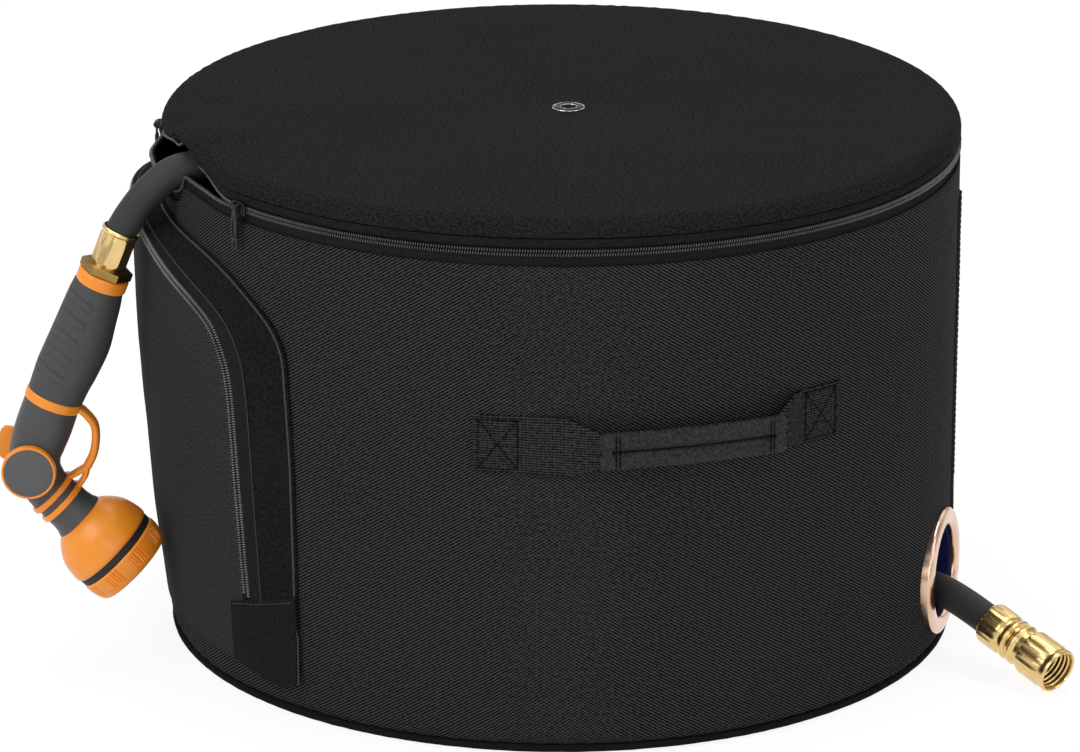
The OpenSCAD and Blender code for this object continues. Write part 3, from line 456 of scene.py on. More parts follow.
# hose: one cord from the coupling, round the coil and out to the nozzle
hose = {
    "radius": 10.5, "coilRadius": 226.0, "pitch": 22.0, "layers": 4, "layerLoops": 2.7975,
    "startAngle": 12.0, "coilZ": 16.0, "steps": 36, "sides": 20, "straight": 21.0, "lead": 12.0,
    "inlet": [(286, -118, 32), (272, -103, 38), (258, -87, 42), (246, -70, 42), (238, -51, 37),
              (233, -31, 29), (230, -10, 20)],
    "outlet": [(-12, 226, 88), (-48, 218, 104), (-82, 198, 128), (-110, 168, 160), (-128, 132, 196),
               (-138, 94, 230), (-146, 56, 262), (-156, 18, 290), (-172, -18, 313), (-192, -48, 327),
               (-213, -71, 334), (-233, -82, 336), (-251, -86, 333), (-267, -88, 320), (-278, -88, 306)],
    "couplingAt": (286, -118, 32), "couplingDir": Vector((39, -42, -16.5)).normalized(),
    "nozzleAt": (-285.5, -88, 294), "nozzleDir": Vector((-0.3665, 0, -0.9304)).normalized(),
    "length": 14.5}


def curveThrough(points, n):
    # smooth curve through the points, n steps to each span
    q = [Vector(p) for p in points]
    q = [2 * q[0] - q[1]] + q + [2 * q[-1] - q[-2]]
    out = []
    for i in range(len(points) - 1):
        a, b, c, d = q[i:i + 4]
        for k in range(n):
            t = k / n
            out.append(0.5 * (2 * b + (c - a) * t + (2 * a - 5 * b + 4 * c - d) * t * t
                              + (3 * b - a - 3 * c + d) * t ** 3))
    return out + [q[-2]]


def coilPoint(t):
    # layers wound in and out by turns, each one hose higher; t runs from 0 to 1
    outer, layers = hose["coilRadius"], hose["layers"]
    inner = outer - hose["pitch"] * hose["layerLoops"]
    j = min(layers - 1, int(layers * t))
    f = layers * t - j
    w = 0.25 / hose["layerLoops"]  # the part of a layer in which it climbs
    r = outer + (inner - outer) * f if j % 2 == 0 else inner + (outer - inner) * f
    up = 0.0
    if f > 1 - w and j < layers - 1:
        up = ease((f - 1 + w) / (2 * w))
    elif f < w and j > 0:
        up = ease((f + w) / (2 * w)) - 1
    a = math.radians(hose["startAngle"] + 360 * layers * hose["layerLoops"] * t)
    return Vector((r * math.cos(a), r * math.sin(a), hose["coilZ"] + hose["pitch"] * (j + up)))


def tubeRows(path, radius, sides):
    # rings square to a path, carried along it without twist
    rows = []
    side = None
    for i, p in enumerate(path):
        ahead = (path[min(i + 1, len(path) - 1)] - path[max(i - 1, 0)]).normalized()
        if side is None:
            side = ahead.cross(Vector((0, 0, 1))).normalized()
        side = (side - ahead * side.dot(ahead)).normalized()
        up = ahead.cross(side)
        rows.append([p + radius * (math.cos(a) * side + math.sin(a) * up) for a in turns(sides)])
    return rows


coilSteps = round(hose["steps"] * hose["layers"] * hose["layerLoops"])
loops = [coilPoint(i / coilSteps) for i in range(coilSteps + 1)]
coilIn = (loops[1] - loops[0]).normalized()
coilOut = (loops[-1] - loops[-2]).normalized()
coilStart, coilEnd = loops[0] - hose["straight"] * coilIn, loops[-1] + hose["straight"] * coilOut
inletPath = curveThrough(hose["inlet"] + [coilStart - hose["lead"] * coilIn], 5)
outletPath = curveThrough([coilEnd + hose["lead"] * coilOut] + hose["outlet"] + [hose["nozzleAt"]], 5)
hosePath = [inletPath[0] + hose["lead"] * hose["couplingDir"]] + inletPath + [coilStart] + loops + [coilEnd]
hosePath += outletPath
hosePath.append(hosePath[-1] + 10 * hose["nozzleDir"])
hoseRows = tubeRows(hosePath, hose["radius"], hose["sides"])
hoseTube = gridMesh("hose", hoseRows, mat=hoseRubber, sharp=50)
finishPiece(hoseTube, "pot", "hose_rubber", "hose_outlet", "hose_coil", "hose_inlet")
print("stage: hose, %.2f m" % (sum((b - a).length for a, b in zip(hosePath, hosePath[1:])) * mm))


# repeats: teeth, stitches, jets
def scatterTree():
    # a stamp set on every point, turned by the point's own "turn"
    tree = bpy.data.node_groups.new("scatter", "GeometryNodeTree")
    face = tree.interface
    for name, kind in (("Geometry", "Geometry"), ("Stamp", "Object"), ("Size", "Float"),
                       ("Material", "Material")):
        face.new_socket(name, in_out="INPUT", socket_type="NodeSocket" + kind)
    face.new_socket("Geometry", in_out="OUTPUT", socket_type="NodeSocketGeometry")
    start, end = tree.nodes.new("NodeGroupInput"), tree.nodes.new("NodeGroupOutput")
    info = addNode(tree, "GeometryNodeObjectInfo", {"Object": start.outputs["Stamp"]},
                   transform_space="ORIGINAL")
    turn = addNode(tree, "GeometryNodeInputNamedAttribute", {"Name": "turn"}, data_type="FLOAT_VECTOR")
    toTurn = addNode(tree, "FunctionNodeEulerToRotation", {0: turn.outputs["Attribute"]})
    size = addNode(tree, "ShaderNodeCombineXYZ", {i: start.outputs["Size"] for i in range(3)})
    inputs = {"Points": start.outputs["Geometry"], "Instance": info.outputs["Geometry"],
              "Rotation": toTurn.outputs[0], "Scale": size.outputs[0]}
    put = addNode(tree, "GeometryNodeInstanceOnPoints", inputs)
    real = addNode(tree, "GeometryNodeRealizeInstances", {0: put.outputs[0]})
    paint = addNode(tree, "GeometryNodeSetMaterial",
                    {"Geometry": real.outputs[0], "Material": start.outputs["Material"]})
    tree.links.new(paint.outputs[0], end.inputs[0])
    return tree


scatterNodes = scatterTree()
scatterIds = {s.name: s.identifier for s in scatterNodes.interface.items_tree if s.in_out == "INPUT"}


def scatter(name, places, stamp, mat, size=1.0):
    # places: (point in mm, the way it runs, the way it faces)
    mesh = bpy.data.meshes.new(name)
    mesh.from_pydata([p * mm for p, _, _ in places], [], [])
    turn = mesh.attributes.new("turn", "FLOAT_VECTOR", "POINT")
    values = []
    for _, along, facing in places:
        z = Vector(facing).normalized()
        x = (Vector(along) - z * Vector(along).dot(z)).normalized()
        values.extend(Matrix((x, z.cross(x), z)).transposed().to_euler())
    turn.data.foreach_set("vector", values)
    obj = newObject(name, mesh)
    mod = obj.modifiers.new("scatter", "NODES")
    mod.node_group = scatterNodes
    mod[scatterIds["Stamp"]] = stamp
    mod[scatterIds["Size"]] = size
    mod[scatterIds["Material"]] = mat
    return applied(obj)


def barStamp(name, sections, outline):
    # sections: (place along x, scale of the outline); outline: (y, z) in mm
    rows = [[Vector((x, y * k, z * k)) for y, z in outline] for x, k in sections]
    obj = gridMesh(name, rows, sharp=60)
    bpy.context.collection.objects.unlink(obj)
    return obj


toothStamp = barStamp("toothStamp", [(-0.5, 0.72), (-0.22, 1.0), (0.22, 1.0), (0.5, 0.72)],
                      [(-1.2, -1.3), (-1.25, 0.5), (-0.8, 1.2), (0, 1.4), (0.8, 1.2), (1.25, 0.5),
                       (1.2, -1.3)])
stitchStamp = barStamp("stitchStamp", [(-1.55, 0.35), (-1.1, 0.9), (0, 1.0), (1.1, 0.9), (1.55, 0.35)],
                       [(0.36 * math.cos(a), 0.34 * math.sin(a)) for a in turns(6)])


def lineUp(line, facing, pitch, start=0.0):
    # points every pitch mm along a line, with the way it runs and faces
    out, left = [], start
    for i in range(len(line) - 1):
        a, b = line[i], line[i + 1]
        step = (b - a).length
        if step < 1e-6:
            continue
        t = left
        while t < step:
            p = a.lerp(b, t / step)
            out.append((p, b - a, facing[i].lerp(facing[i + 1], t / step)))
            t += pitch
        left = t - step
    return out


def stitches(name, lines, body, pitch=4.2, mat=None):
    # one stitch every pitch mm along each (line, facing)
    places = []
    for line, facing in lines:
        places += lineUp(line, facing, pitch, 1.0)
    return finishPiece(scatter(name, places, stitchStamp, mat or thread), body)


# wall and rim cloth
wallR = pot["radius"]
wallIn = wallR - pot["skin"]
wall = {"foot": 6.2, "footHigh": 8.0, "footIn": 3.6, "top": 296.0, "lowCoil": 331.0, "broad": 1.0,
        "fine": 0.3, "hem": 0.45, "rimSeam": 0.16}
port = {"angle": 73.0, "z": 55.0, "hole": 32.3, "ring": 42.5}
# the open corner of the zip: from, over how many degrees, to, over how many degrees
mouth = {"open": (-91.5, 14, -51.8, 13), "bulge": (-91.8, 8, -69, 9), "drawn": (-71, 4, -54.5, 8),
         "sag": (-91.8, 8, -72, 6), "hose": -71.4, "hoseHalf": 6.5, "dipHalf": 2.8, "dip": 12.6}


def between(th, low, lowRun, high, highRun):
    return ease((th - low) / lowRun) * ease((high - th) / highRun)


def openWidth(th):
    return between(th, *mouth["open"])


def hoseWidth(th):
    return ease((mouth["hoseHalf"] - abs(th - mouth["hose"])) / 3.9)


def rimOut(th):
    return 8 * between(th, *mouth["bulge"]) - 3 * between(th, *mouth["drawn"])


def rimDip(th):
    # the rim's cloth dips under the hose and sags a little beside it
    dent = max(0.0, 1 - ((th - mouth["hose"]) / mouth["dipHalf"]) ** 2)
    return mouth["dip"] * math.sqrt(dent) + 4 * between(th, *mouth["sag"])


def wallWave(th, z):
    # how far the stretched cloth stands in or out: broad swells and small ones, puckers at the hem
    # and the rim's seam, none at the port
    t = math.radians(th)
    zz = min(z, 325.0)
    c, s = math.cos(t), math.sin(t)
    w = wall["broad"] * noise.noise(Vector((2.4 * c, 2.4 * s, zz / 85)))
    w += wall["fine"] * noise.noise(Vector((9 * c, 9 * s, zz / 28)))
    w *= 1 - 0.75 * ease((zz - 296) / 22)
    along = wallR * t
    hem = wall["hem"] * math.exp(-((zz - 10) / 9) ** 2)
    w += hem * math.sin(along * 2 * math.pi / 15 + 2.5 * noise.noise(Vector((6 * c, 6 * s, 3))))
    rimSeam = wall["rimSeam"] * math.exp(-((zz - 321) / 7) ** 2)
    w += rimSeam * math.sin(along * 2 * math.pi / 11 + 2 * noise.noise(Vector((8 * c, 8 * s, 9))))
    away = math.hypot(wallR * math.radians(th - port["angle"]), zz - port["z"])
    return w * ease((away - port["ring"] + 2) / 26)


def onWall(th, r, z):
    return at(th, r + wallWave(th, z), z)


def rimPoint(th, r, z):
    w = ease((z - wall["top"]) / (wall["lowCoil"] - wall["top"]))
    v = ease((z - wall["top"] - 9) / (wall["lowCoil"] - wall["top"] - 9))
    return at(th, r + wallWave(th, z) + rimOut(th) * v, z - rimDip(th) * w)


def ringAngles(step=1.0):
    out, t = [], -98.0
    while t < 262 - 1e-6:
        out.append(t)
        t += 0.5 if t < -50 else step
    return out


def steps(a, b, n):
    return [a + (b - a) * i / n for i in range(n + 1)]


def wallSection(outer, inner, zTop, n, k):
    # closed section: up the outside, over the fold, down the inside
    def foot(r, turn):
        return [(r - wall["footIn"] * (1 - math.sin(math.radians(a))),
                 wall["foot"] + wall["footHigh"] * (1 - math.cos(math.radians(a)))) for a in turn]
    low = wall["foot"] + wall["footHigh"]
    up = [(outer, z) for z in steps(low, zTop - 0.7, n)]
    down = [(inner, z) for z in steps(zTop - 0.7, low, k)]
    fold = [(outer - 0.6, zTop), (inner + 0.6, zTop)]
    return foot(outer, range(0, 90, 15)) + up + fold + down + foot(inner, range(75, -1, -15))


def sheetSection(outer, inner, low, high, n):
    return [(outer, z) for z in steps(low, high, n)] + [(inner, z) for z in steps(high, low, n)]


def band(name, point, section, run, mat, ring=True, sharp=None):
    # a section of (radius, height) carried round the pot
    return gridMesh(name, [[point(t, r, z) for r, z in section] for t in run], ring=ring, mat=mat,
                    sharp=sharp)


angles = ringAngles()
wallCloth = band("wall_cloth", rimPoint, wallSection(wallR, wallIn, pot["bandTop"], 56, 16), angles, twill)


def portFrame(out=0.0):
    # z runs outwards through the port
    z = at(port["angle"], 1.0, 0.0).normalized()
    x = Vector((0, 0, 1))
    m = Matrix((x, z.cross(x), z)).transposed().to_4x4()
    m.translation = at(port["angle"], wallR + out, port["z"])
    return m


def cutPort(obj, radius):
    cutter = lathe("cutter", [(0.01, -40), (radius, -40), (radius, 30), (0.01, 30)], portFrame(), 96)
    mod = obj.modifiers.new("port", "BOOLEAN")
    mod.object, mod.operation, mod.solver = cutter, "DIFFERENCE", "EXACT"
    applied(obj)
    bpy.data.objects.remove(cutter)


cutPort(wallCloth, port["hole"])
smoothShade(wallCloth.data, 50)
finishPiece(wallCloth, "pot", "cloth_black", "wall_front", "wall_back", "rim_band")
print("stage: wall cloth")

# padding and lining behind it
behind = {"padOut": 0.15, "padIn": 3.8, "padLow": 15.2, "padHigh": 295.6, "liningIn": 4.0, "liningLow": 5.4,
          "liningHigh": 295.4}
coarse = ringAngles(2.0)
padSection = sheetSection(wallIn - behind["padOut"], wallIn - behind["padIn"], behind["padLow"],
                          behind["padHigh"], 24)
pad = band("wall_padding", onWall, padSection, coarse, foamCloth)
cutPort(pad, port["hole"])
finishPiece(pad, "pot", "foam", "wall_foam")
lineR = wallIn - behind["liningIn"]


def liningPoint(th, r, z):
    # the lining is a little loose away from its edges
    t = math.radians(th)
    loose = noise.noise(Vector((11 * math.cos(t), 11 * math.sin(t), z / 45)))
    return onWall(th, r - abs(0.7 * loose * ease((z - 12) / 20) * ease((292 - z) / 20)), z)


liningSection = sheetSection(lineR - 0.05, lineR - 0.9, behind["liningLow"], behind["liningHigh"], 40)
lining = band("wall_lining_cloth", liningPoint, liningSection, coarse, liningCloth)
cutPort(lining, port["hole"])
smoothShade(lining.data, 50)
finishPiece(lining, "pot", "lining", "wall_lining")
bindingSection = [(lineR - 1.6, 284), (lineR - 1.9, 290), (lineR - 1.7, 296.4), (lineR - 0.6, 297.8),
                  (lineR + 2.6, 297.9), (lineR + 3.6, 297.2), (lineR + 3.6, 296.2), (lineR - 0.2, 296.1),
                  (lineR - 1.1, 295.6), (lineR - 1.1, 284)]
finishPiece(band("lining_binding", onWall, bindingSection, coarse, pipingCloth, sharp=60), "pot")
stitches("lining_stitches", [([onWall(t, lineR - 1.85, 286.5) for t in coarse],
                              [-at(t, 1, 0) for t in coarse])], "pot", 4.6)

# piping at the foot, its cover gathered a little
piping = {"radius": 2.6, "circle": 261.1, "z": 3.4}


def ropeRing(name, point, radius, mat, sides=10, gather=0.05, angleStep=1.0):
    # round piping, its cover gathered by a share of its radius
    rows = []
    for t in ringAngles(angleStep):
        a = math.radians(t)
        size = radius * (1 + gather * noise.noise(Vector((40 * math.cos(a), 40 * math.sin(a), radius))))
        c = point(t)
        out = at(t, 1, 0)
        rows.append([c + size * (math.cos(b) * out + Vector((0, 0, math.sin(b) * size / radius)))
                     for b in turns(sides)])
    return gridMesh(name, rows, ring=True, mat=mat)


footPiping = ropeRing("foot_piping", lambda t: at(t, piping["circle"], piping["z"]), piping["radius"],
                      pipingCloth, 12)
finishPiece(footPiping, "pot", "edging", "base_piping")
print("stage: lining, padding, piping")


# lid
eyeletAt = Vector((5, -14, 0))
lid = {"edge": 10.0, "drop": 11.0, "panel": 264.2, "thick": 1.6, "skirtTop": 343.3, "hole": 9.5}


def lift(th):
    # how far the lid's edge goes in and up where the zip is open and over the hose
    return -4 * openWidth(th), 6 * openWidth(th) + 3.8 * hoseWidth(th)


def edgePoint(th, r, z):
    # the skirt leans out where it is lifted
    a = math.radians(30 * openWidth(th) + 25 * hoseWidth(th))
    dr, dz = lift(th)
    middle = wallR - pot["skin"] / 2
    s, q = z - lid["skirtTop"], r - wallR + pot["skin"] / 2
    return at(th, middle + dr + s * math.sin(a) + q * math.cos(a) + wallWave(th, 325),
              lid["skirtTop"] + dz + s * math.cos(a) - q * math.sin(a))


def seamPoint(th, r, z):
    dr, dz = lift(th)
    return at(th, r + dr + wallWave(th, 325), z + dz)


def lidFlat(r):
    return pot["height"] - 0.8 * (r / (lid["panel"] - lid["edge"])) ** 2


def lidTop(r):
    e = max(0.0, r - lid["panel"] + lid["edge"]) / lid["edge"]
    return lidFlat(r) - lid["drop"] * (1 - math.sqrt(max(0.0, 1 - e * e)))


def lidWave(th, r):
    # loose cloth over the board, puckered along its seam
    t = math.radians(th)
    x, y = r * math.sin(t), r * math.cos(t)
    swell = (0.55 * noise.noise(Vector((x / 75, y / 75, 4)))
             + 0.25 * noise.noise(Vector((x / 28, y / 28, 8))) + 0.4)
    edge = ease((r - 236) / 22)
    pull = 0.16 * edge * (1 + 2 * noise.noise(Vector((x / 60, y / 60, 6))))
    pucker = pull * math.sin(wallR * t * 2 * math.pi / 13 + 3 * noise.noise(Vector((x / 30, y / 30, 1))))
    fold = -0.9 * ease((r - 246) / 10) * math.exp(-((th - 54.5) / 1.1) ** 2)  # small pleat at the right
    return swell * ease((r - 14) / 30) * (1 - 0.6 * edge) + pucker + fold


def lidPoint(th, r, z):
    o, h = openWidth(th), hoseWidth(th)
    k = (3.8 * o + 3.8 * h) / lid["drop"]
    rr = r - 4 * o * ease((r - 200) / 60) + wallWave(th, 325) * ease((r - 230) / 30)
    middle = (1 - ease((r - 8) / 150)) * eyeletAt
    up = (2.2 * o + 1.2 * h) * ease((r - 190) / 60)
    return middle + at(th, rr, z + up + (lidFlat(r) - lidTop(r)) * k + lidWave(th, r))


def lidUnder(r):
    return max(lid["hole"], r - (lid["thick"] if r > 240 else 0))


def lidUv(co):
    # the weave runs straight across the round lid and on over its edge
    down = 1 + max(0.0, pot["height"] * mm - co.z) / max(0.01, math.hypot(co.x, co.y))
    return co.x * down, co.y * down


lidRadii = [lid["hole"], 14, 24, 40] + steps(60, 230, 17)
lidRadii += [236, 242, 247, 251, 254, 256, 258, 259.6, 261, 262.2, 263.1, 263.7, 264.05, 264.2]
lidUnders = [lidUnder(r) for r in reversed(lidRadii)]
lidRows = [[lidPoint(t, r, lidTop(r)) for r in lidRadii]
           + [lidPoint(t, r, lidTop(r) - lid["thick"]) for r in lidUnders] for t in angles]
lidCloth = gridMesh("lid_cloth", lidRows, ring=True, mat=twillLid, sharp=60)
mapUv(lidCloth, lidUv)
finishPiece(lidCloth, "lid", "cloth_black", "lid_panel")
skirtSection = [(wallR, 337.9), (wallR + 0.15, 339.4), (wallR + 0.1, 341.4), (wallR - 0.3, 342.9),
                (wallIn, 343.0), (wallIn, 340.4), (wallIn, 337.9), (wallIn + 0.6, 337.5),
                (wallR - 0.6, 337.5)]
skirt = band("lid_skirt_cloth", edgePoint, skirtSection, angles, skirtCloth, sharp=60)
finishPiece(skirt, "lid", "cloth_black", "lid_skirt")
lidPiping = ropeRing("lid_seam", lambda t: seamPoint(t, wallR - 1.5, lid["skirtTop"] + 2.0), 1.25,
                     pipingCloth, 8, 0.12, 0.75)
finishPiece(lidPiping, "lid", "edging", "lid_piping")
print("stage: lid")


# zip round the rim
zipSet = {"from": -152.0, "to": 154.0, "tape": 261.9, "tapeThick": 0.9, "pitch": 1.7, "lowZ": 332.75,
          "highZ": 335.25}
seamAt = -98.5  # the fine steps of the rim's rings start here
zipAngles = steps(zipSet["from"], seamAt, 54) + [t for t in angles if seamAt < t < zipSet["to"] + 0.5]
tapeR, tapeIn = zipSet["tape"], zipSet["tape"] - zipSet["tapeThick"]
lowSection = ([(tapeR, z) for z in (306, 312, 318, 324, 326, 328, 330, 331.6)]
              + [(tapeR - 0.2, 333.2), (tapeIn, 333.2)])
lowSection += [(tapeIn, z) for z in (331, 326, 318, 312, 306)]
highSection = [(tapeR, 340.2), (tapeIn, 340.2), (tapeIn, 337), (tapeIn, 334.8), (tapeR - 0.2, 334.8),
               (tapeR, 336.6), (tapeR, 338.4)]
lowTape = band("zip_tape_lower", rimPoint, lowSection, zipAngles, tapeCloth, False, 60)
finishPiece(lowTape, "pot", None, "zip_lower")
upTape = band("zip_tape_upper", edgePoint, highSection, zipAngles, tapeCloth, False, 60)
finishPiece(upTape, "lid", None, "zip_upper")


def zipCoil(name, point, z, start, body):
    line = [point(t, tapeR + 1.2, z) for t in zipAngles]
    face = []
    for i, t in enumerate(zipAngles):
        ahead = line[min(i + 1, len(line) - 1)] - line[max(i - 1, 0)]
        up = point(t, tapeR + 1.2, z + 1) - line[i]
        face.append(ahead.cross(up).normalized())
    finishPiece(scatter(name, lineUp(line, face, zipSet["pitch"], start), toothStamp, coilNylon), body)


zipCoil("zip_coil_lower", rimPoint, zipSet["lowZ"], 0.2, "pot")
zipCoil("zip_coil_upper", edgePoint, zipSet["highZ"], 0.2 + zipSet["pitch"] / 2, "lid")
print("stage: zip")


# places on the pot
def frameAt(th, r, z):
    # x outwards, y along the wall, z up
    m = Matrix((at(th, 1, 0), at(th + 90, 1, 0), Vector((0, 0, 1)))).transposed().to_4x4()
    m.translation = at(th, r, z)
    return m


def frameOf(x, y, z, origin):
    m = Matrix((x, y, z)).transposed().to_4x4()
    m.translation = Vector(origin)
    return m


def turned(place, order, offset=(0, 0, 0)):
    # a frame with its axes in another order, moved to an offset within it
    x, y, z = (place.col[i].xyz for i in order)
    return frameOf(x, y, z, place @ Vector(offset))


def wallUv(obj, middle=0.0):
    # unrolls the cloth's map round the pot: arc and height
    def unroll(co):
        t = math.atan2(co.x, -co.y) - math.radians(middle)
        t = (t + math.pi) % (2 * math.pi) - math.pi
        return t * wallR * mm, co.z
    mapUv(obj, unroll)


def flatShape(name, loops, thick, place, mat, bevel=0.3, rounds=2):
    # flat piece in the xy of place, from outlines in mm; later outlines are holes
    data = bpy.data.curves.new(name, "CURVE")
    data.dimensions = "2D"
    data.fill_mode = "BOTH"
    for loop in loops:
        line = data.splines.new("POLY")
        line.points.add(len(loop) - 1)
        for p, q in zip(line.points, loop):
            p.co = (q[0] * mm, q[1] * mm, 0, 1)
        line.use_cyclic_u = True
    data.extrude = (thick / 2 - bevel) * mm
    data.bevel_depth = bevel * mm
    data.bevel_resolution = rounds
    data.offset = -bevel * mm
    obj = bpy.data.objects.new(name, data)
    bpy.context.collection.objects.link(obj)
    graph = bpy.context.evaluated_depsgraph_get()
    mesh = bpy.data.meshes.new_from_object(obj.evaluated_get(graph))
    bpy.data.objects.remove(obj)
    m = place.copy()
    m.translation = m.translation * mm
    mesh.transform(m)
    mesh.materials.clear()
    out = faceOut(newObject(name, mesh, mat))
    smoothShade(mesh, 40)
    return out


def sweep(name, line, sections, mat, up=(0, 1, 0), sharp=50):
    # closed sections of (a, b) offsets, given by the share of the way, carried along a line;
    # b runs along up
    rows = []
    for i, p in enumerate(line):
        ahead = (line[min(i + 1, len(line) - 1)] - line[max(i - 1, 0)]).normalized()
        side = ahead.cross(Vector(up)).normalized()
        rise = side.cross(ahead)
        rows.append([p + a * side + b * rise for a, b in sections(i / (len(line) - 1))])
    return gridMesh(name, rows, mat=mat, sharp=sharp)


def oval(a, b, n, power=1.0):
    out = []
    for t in turns(n):
        c, s = math.cos(t), math.sin(t)
        out.append((math.copysign(abs(c) ** power, c) * a, math.copysign(abs(s) ** power, s) * b))
    return out


def arc(r, start, end, step, x=0.0, y=0.0):
    return [(x + r * math.cos(math.radians(a)), y + r * math.sin(math.radians(a)))
            for a in range(start, end, step)]


def roundBox(w, h, r, n=5):
    out = []
    for sx, sy, a0 in ((1, 1, 0), (-1, 1, 90), (-1, -1, 180), (1, -1, 270)):
        for k in range(n + 1):
            a = math.radians(a0 + 90 * k / n)
            out.append((sx * (w / 2 - r) + r * math.cos(a), sy * (h / 2 - r) + r * math.sin(a)))
    return out


def circle(r, n=24):
    return [(r * math.cos(a), r * math.sin(a)) for a in turns(n)]


# seam strip over the wall's side seam
seam = {"from": 80.8, "to": 87.2, "low": 34.0, "high": 300.0, "lines": (81.6, 86.4)}
across = steps(seam["from"], seam["to"], 8)


def seamRise(t):
    if not seam["from"] < t < seam["to"]:
        return 0.25
    return 0.15 + 1.15 * math.sin(math.pi * (t - seam["from"]) / 6.4) ** 0.35


stripRows = [[onWall(t, wallR + seamRise(t), z) for t in across]
             + [onWall(t, wallR + 0.05, z) for t in reversed(across)]
             for z in steps(seam["low"], seam["high"], 70)]
strip = gridMesh("seam_strip_cloth", stripRows, mat=pipingCloth)
wallUv(strip)
cutPort(strip, port["ring"] + 0.4)
smoothShade(strip.data, 50)
finishPiece(strip, "pot", "edging", "seam_strip")
seamLines = []
for t in seam["lines"]:
    line = [onWall(t, wallR + 1.35, z) for z in steps(port["z"] + 47, 299, 40)]
    seamLines.append((line, [at(t, 1, 0)] * len(line)))
stitches("seam_stitches", seamLines, "pot", 4.0)


# lid fittings
lidBoardZ = lidFlat(224) - 1.8
paintNodes(boardSheet, "lid_board", "base_board")
lidLiningProfile = [(11, -4.2), (60, -4.25), (120, -4.2), (180, -4.25), (222, -4.1), (226, -3.6),
                    (230, -2.2), (234, -1.35), (240, -1.4), (246, -1.5), (246, -0.45), (240, -0.4),
                    (232, -0.35), (228, -1.2), (225.4, -2.9), (222, -3.25), (180, -3.25), (120, -3.25),
                    (60, -3.25), (11, -3.25)]


def lidLiningRow(t):
    row = []
    for k, (r, z) in enumerate(lidLiningProfile):
        loose = k < 10 and z < -1.35 and 20 < r < 224  # the side that is seen, between its seams
        sag = 0.35 * (1 + noise.noise(at(t, r, 0) / 34)) if loose else 0
        row.append((1 - ease((r - 11) / 150)) * eyeletAt + at(t, r, lidBoardZ + z - sag))
    return row


lidLining = gridMesh("lid_lining_cloth", [lidLiningRow(t) for t in coarse], ring=True, mat=liningCloth,
                     sharp=50)
flatUv(lidLining)
finishPiece(lidLining, "lid", "lining", "lid_lining")
boardAngles = steps(0, 360, 180)
liningSeam = [at(t, 231.5, lidBoardZ - 2.0) for t in boardAngles]
stitches("lid_lining_stitches",
         [(liningSeam, [Vector((0, 0, -1)) + 0.4 * at(t, 1, 0) for t in boardAngles])], "lid", 4.4)
eyelet = [(5.0, 347.0), (5.0, 354.2), (5.35, 355.4), (6.1, 356.25), (7.3, 356.6), (8.6, 356.45),
          (9.8, 355.9), (10.5, 355.2), (10.75, 354.7), (10.0, 354.66), (7.5, 354.9), (6.4, 354.6),
          (6.4, 347.0)]
eyeletTop = lathe("eyelet", eyelet, Matrix.Translation(eyeletAt + Vector((0, 0, 1))), 64, eyeletMetal,
                  closed=True)
finishPiece(eyeletTop, "lid", "eyelet_metal", "lid_eyelet")
paintNodes(eyeletMetal, "lid_eyelet_washer")
# painted highlights: thin rings of bright metal on the eyelet's outer and inner edges stand in for their
# glints
for name, inner, up in (("eyelet_rim_outer", 10.25, 0.6), ("eyelet_rim_inner", 5.35, 0.9)):
    profile = [(inner, 355.2), (inner + 0.45, 355.2), (inner + 0.5, 356.0), (inner + 0.25, 356.35),
               (inner, 356.0)]
    ring = lathe(name, profile, Matrix.Translation(eyeletAt + Vector((0, 0, up))), 64, eyeletHighlightMetal,
                 closed=True)
    finishPiece(ring, "lid", "eyelet_metal")

# the lid's cloth hinge: one strip from the rim up to the skirt
hinge = {"from": 154.8, "to": 207.2}
hingeSection = [(wallIn + 0.9, 318), (wallIn + 0.95, 324), (wallR - 0.7, 327), (wallR - 0.5, 330),
                (wallR - 0.45, 334), (wallR - 0.6, 337.6), (wallIn + 0.5, 338.4), (wallIn - 0.4, 338.4),
                (wallIn - 0.6, 334), (wallIn - 0.7, 330), (wallIn - 0.8, 324), (wallIn - 0.7, 318)]
hingeCloth = band("lid_hinge_cloth", lambda t, r, z: at(t, r + wallWave(t, 325), z), hingeSection,
                  steps(hinge["from"], hinge["to"], 60), skirtCloth, False, 50)
wallUv(hingeCloth, 180)
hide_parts("lid_hinge_strip", "hinge_band")
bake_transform(hingeCloth)
print("stage: lid fittings")


# sliders and pulls
sliderSet = {"front": -50.0, "left": -93.6, "long": 6.7, "tall": 4.9, "back": -5.5}
pullSet = {"length": 28.0, "width": 6.0, "pin": 269.4, "lift": 2.0}


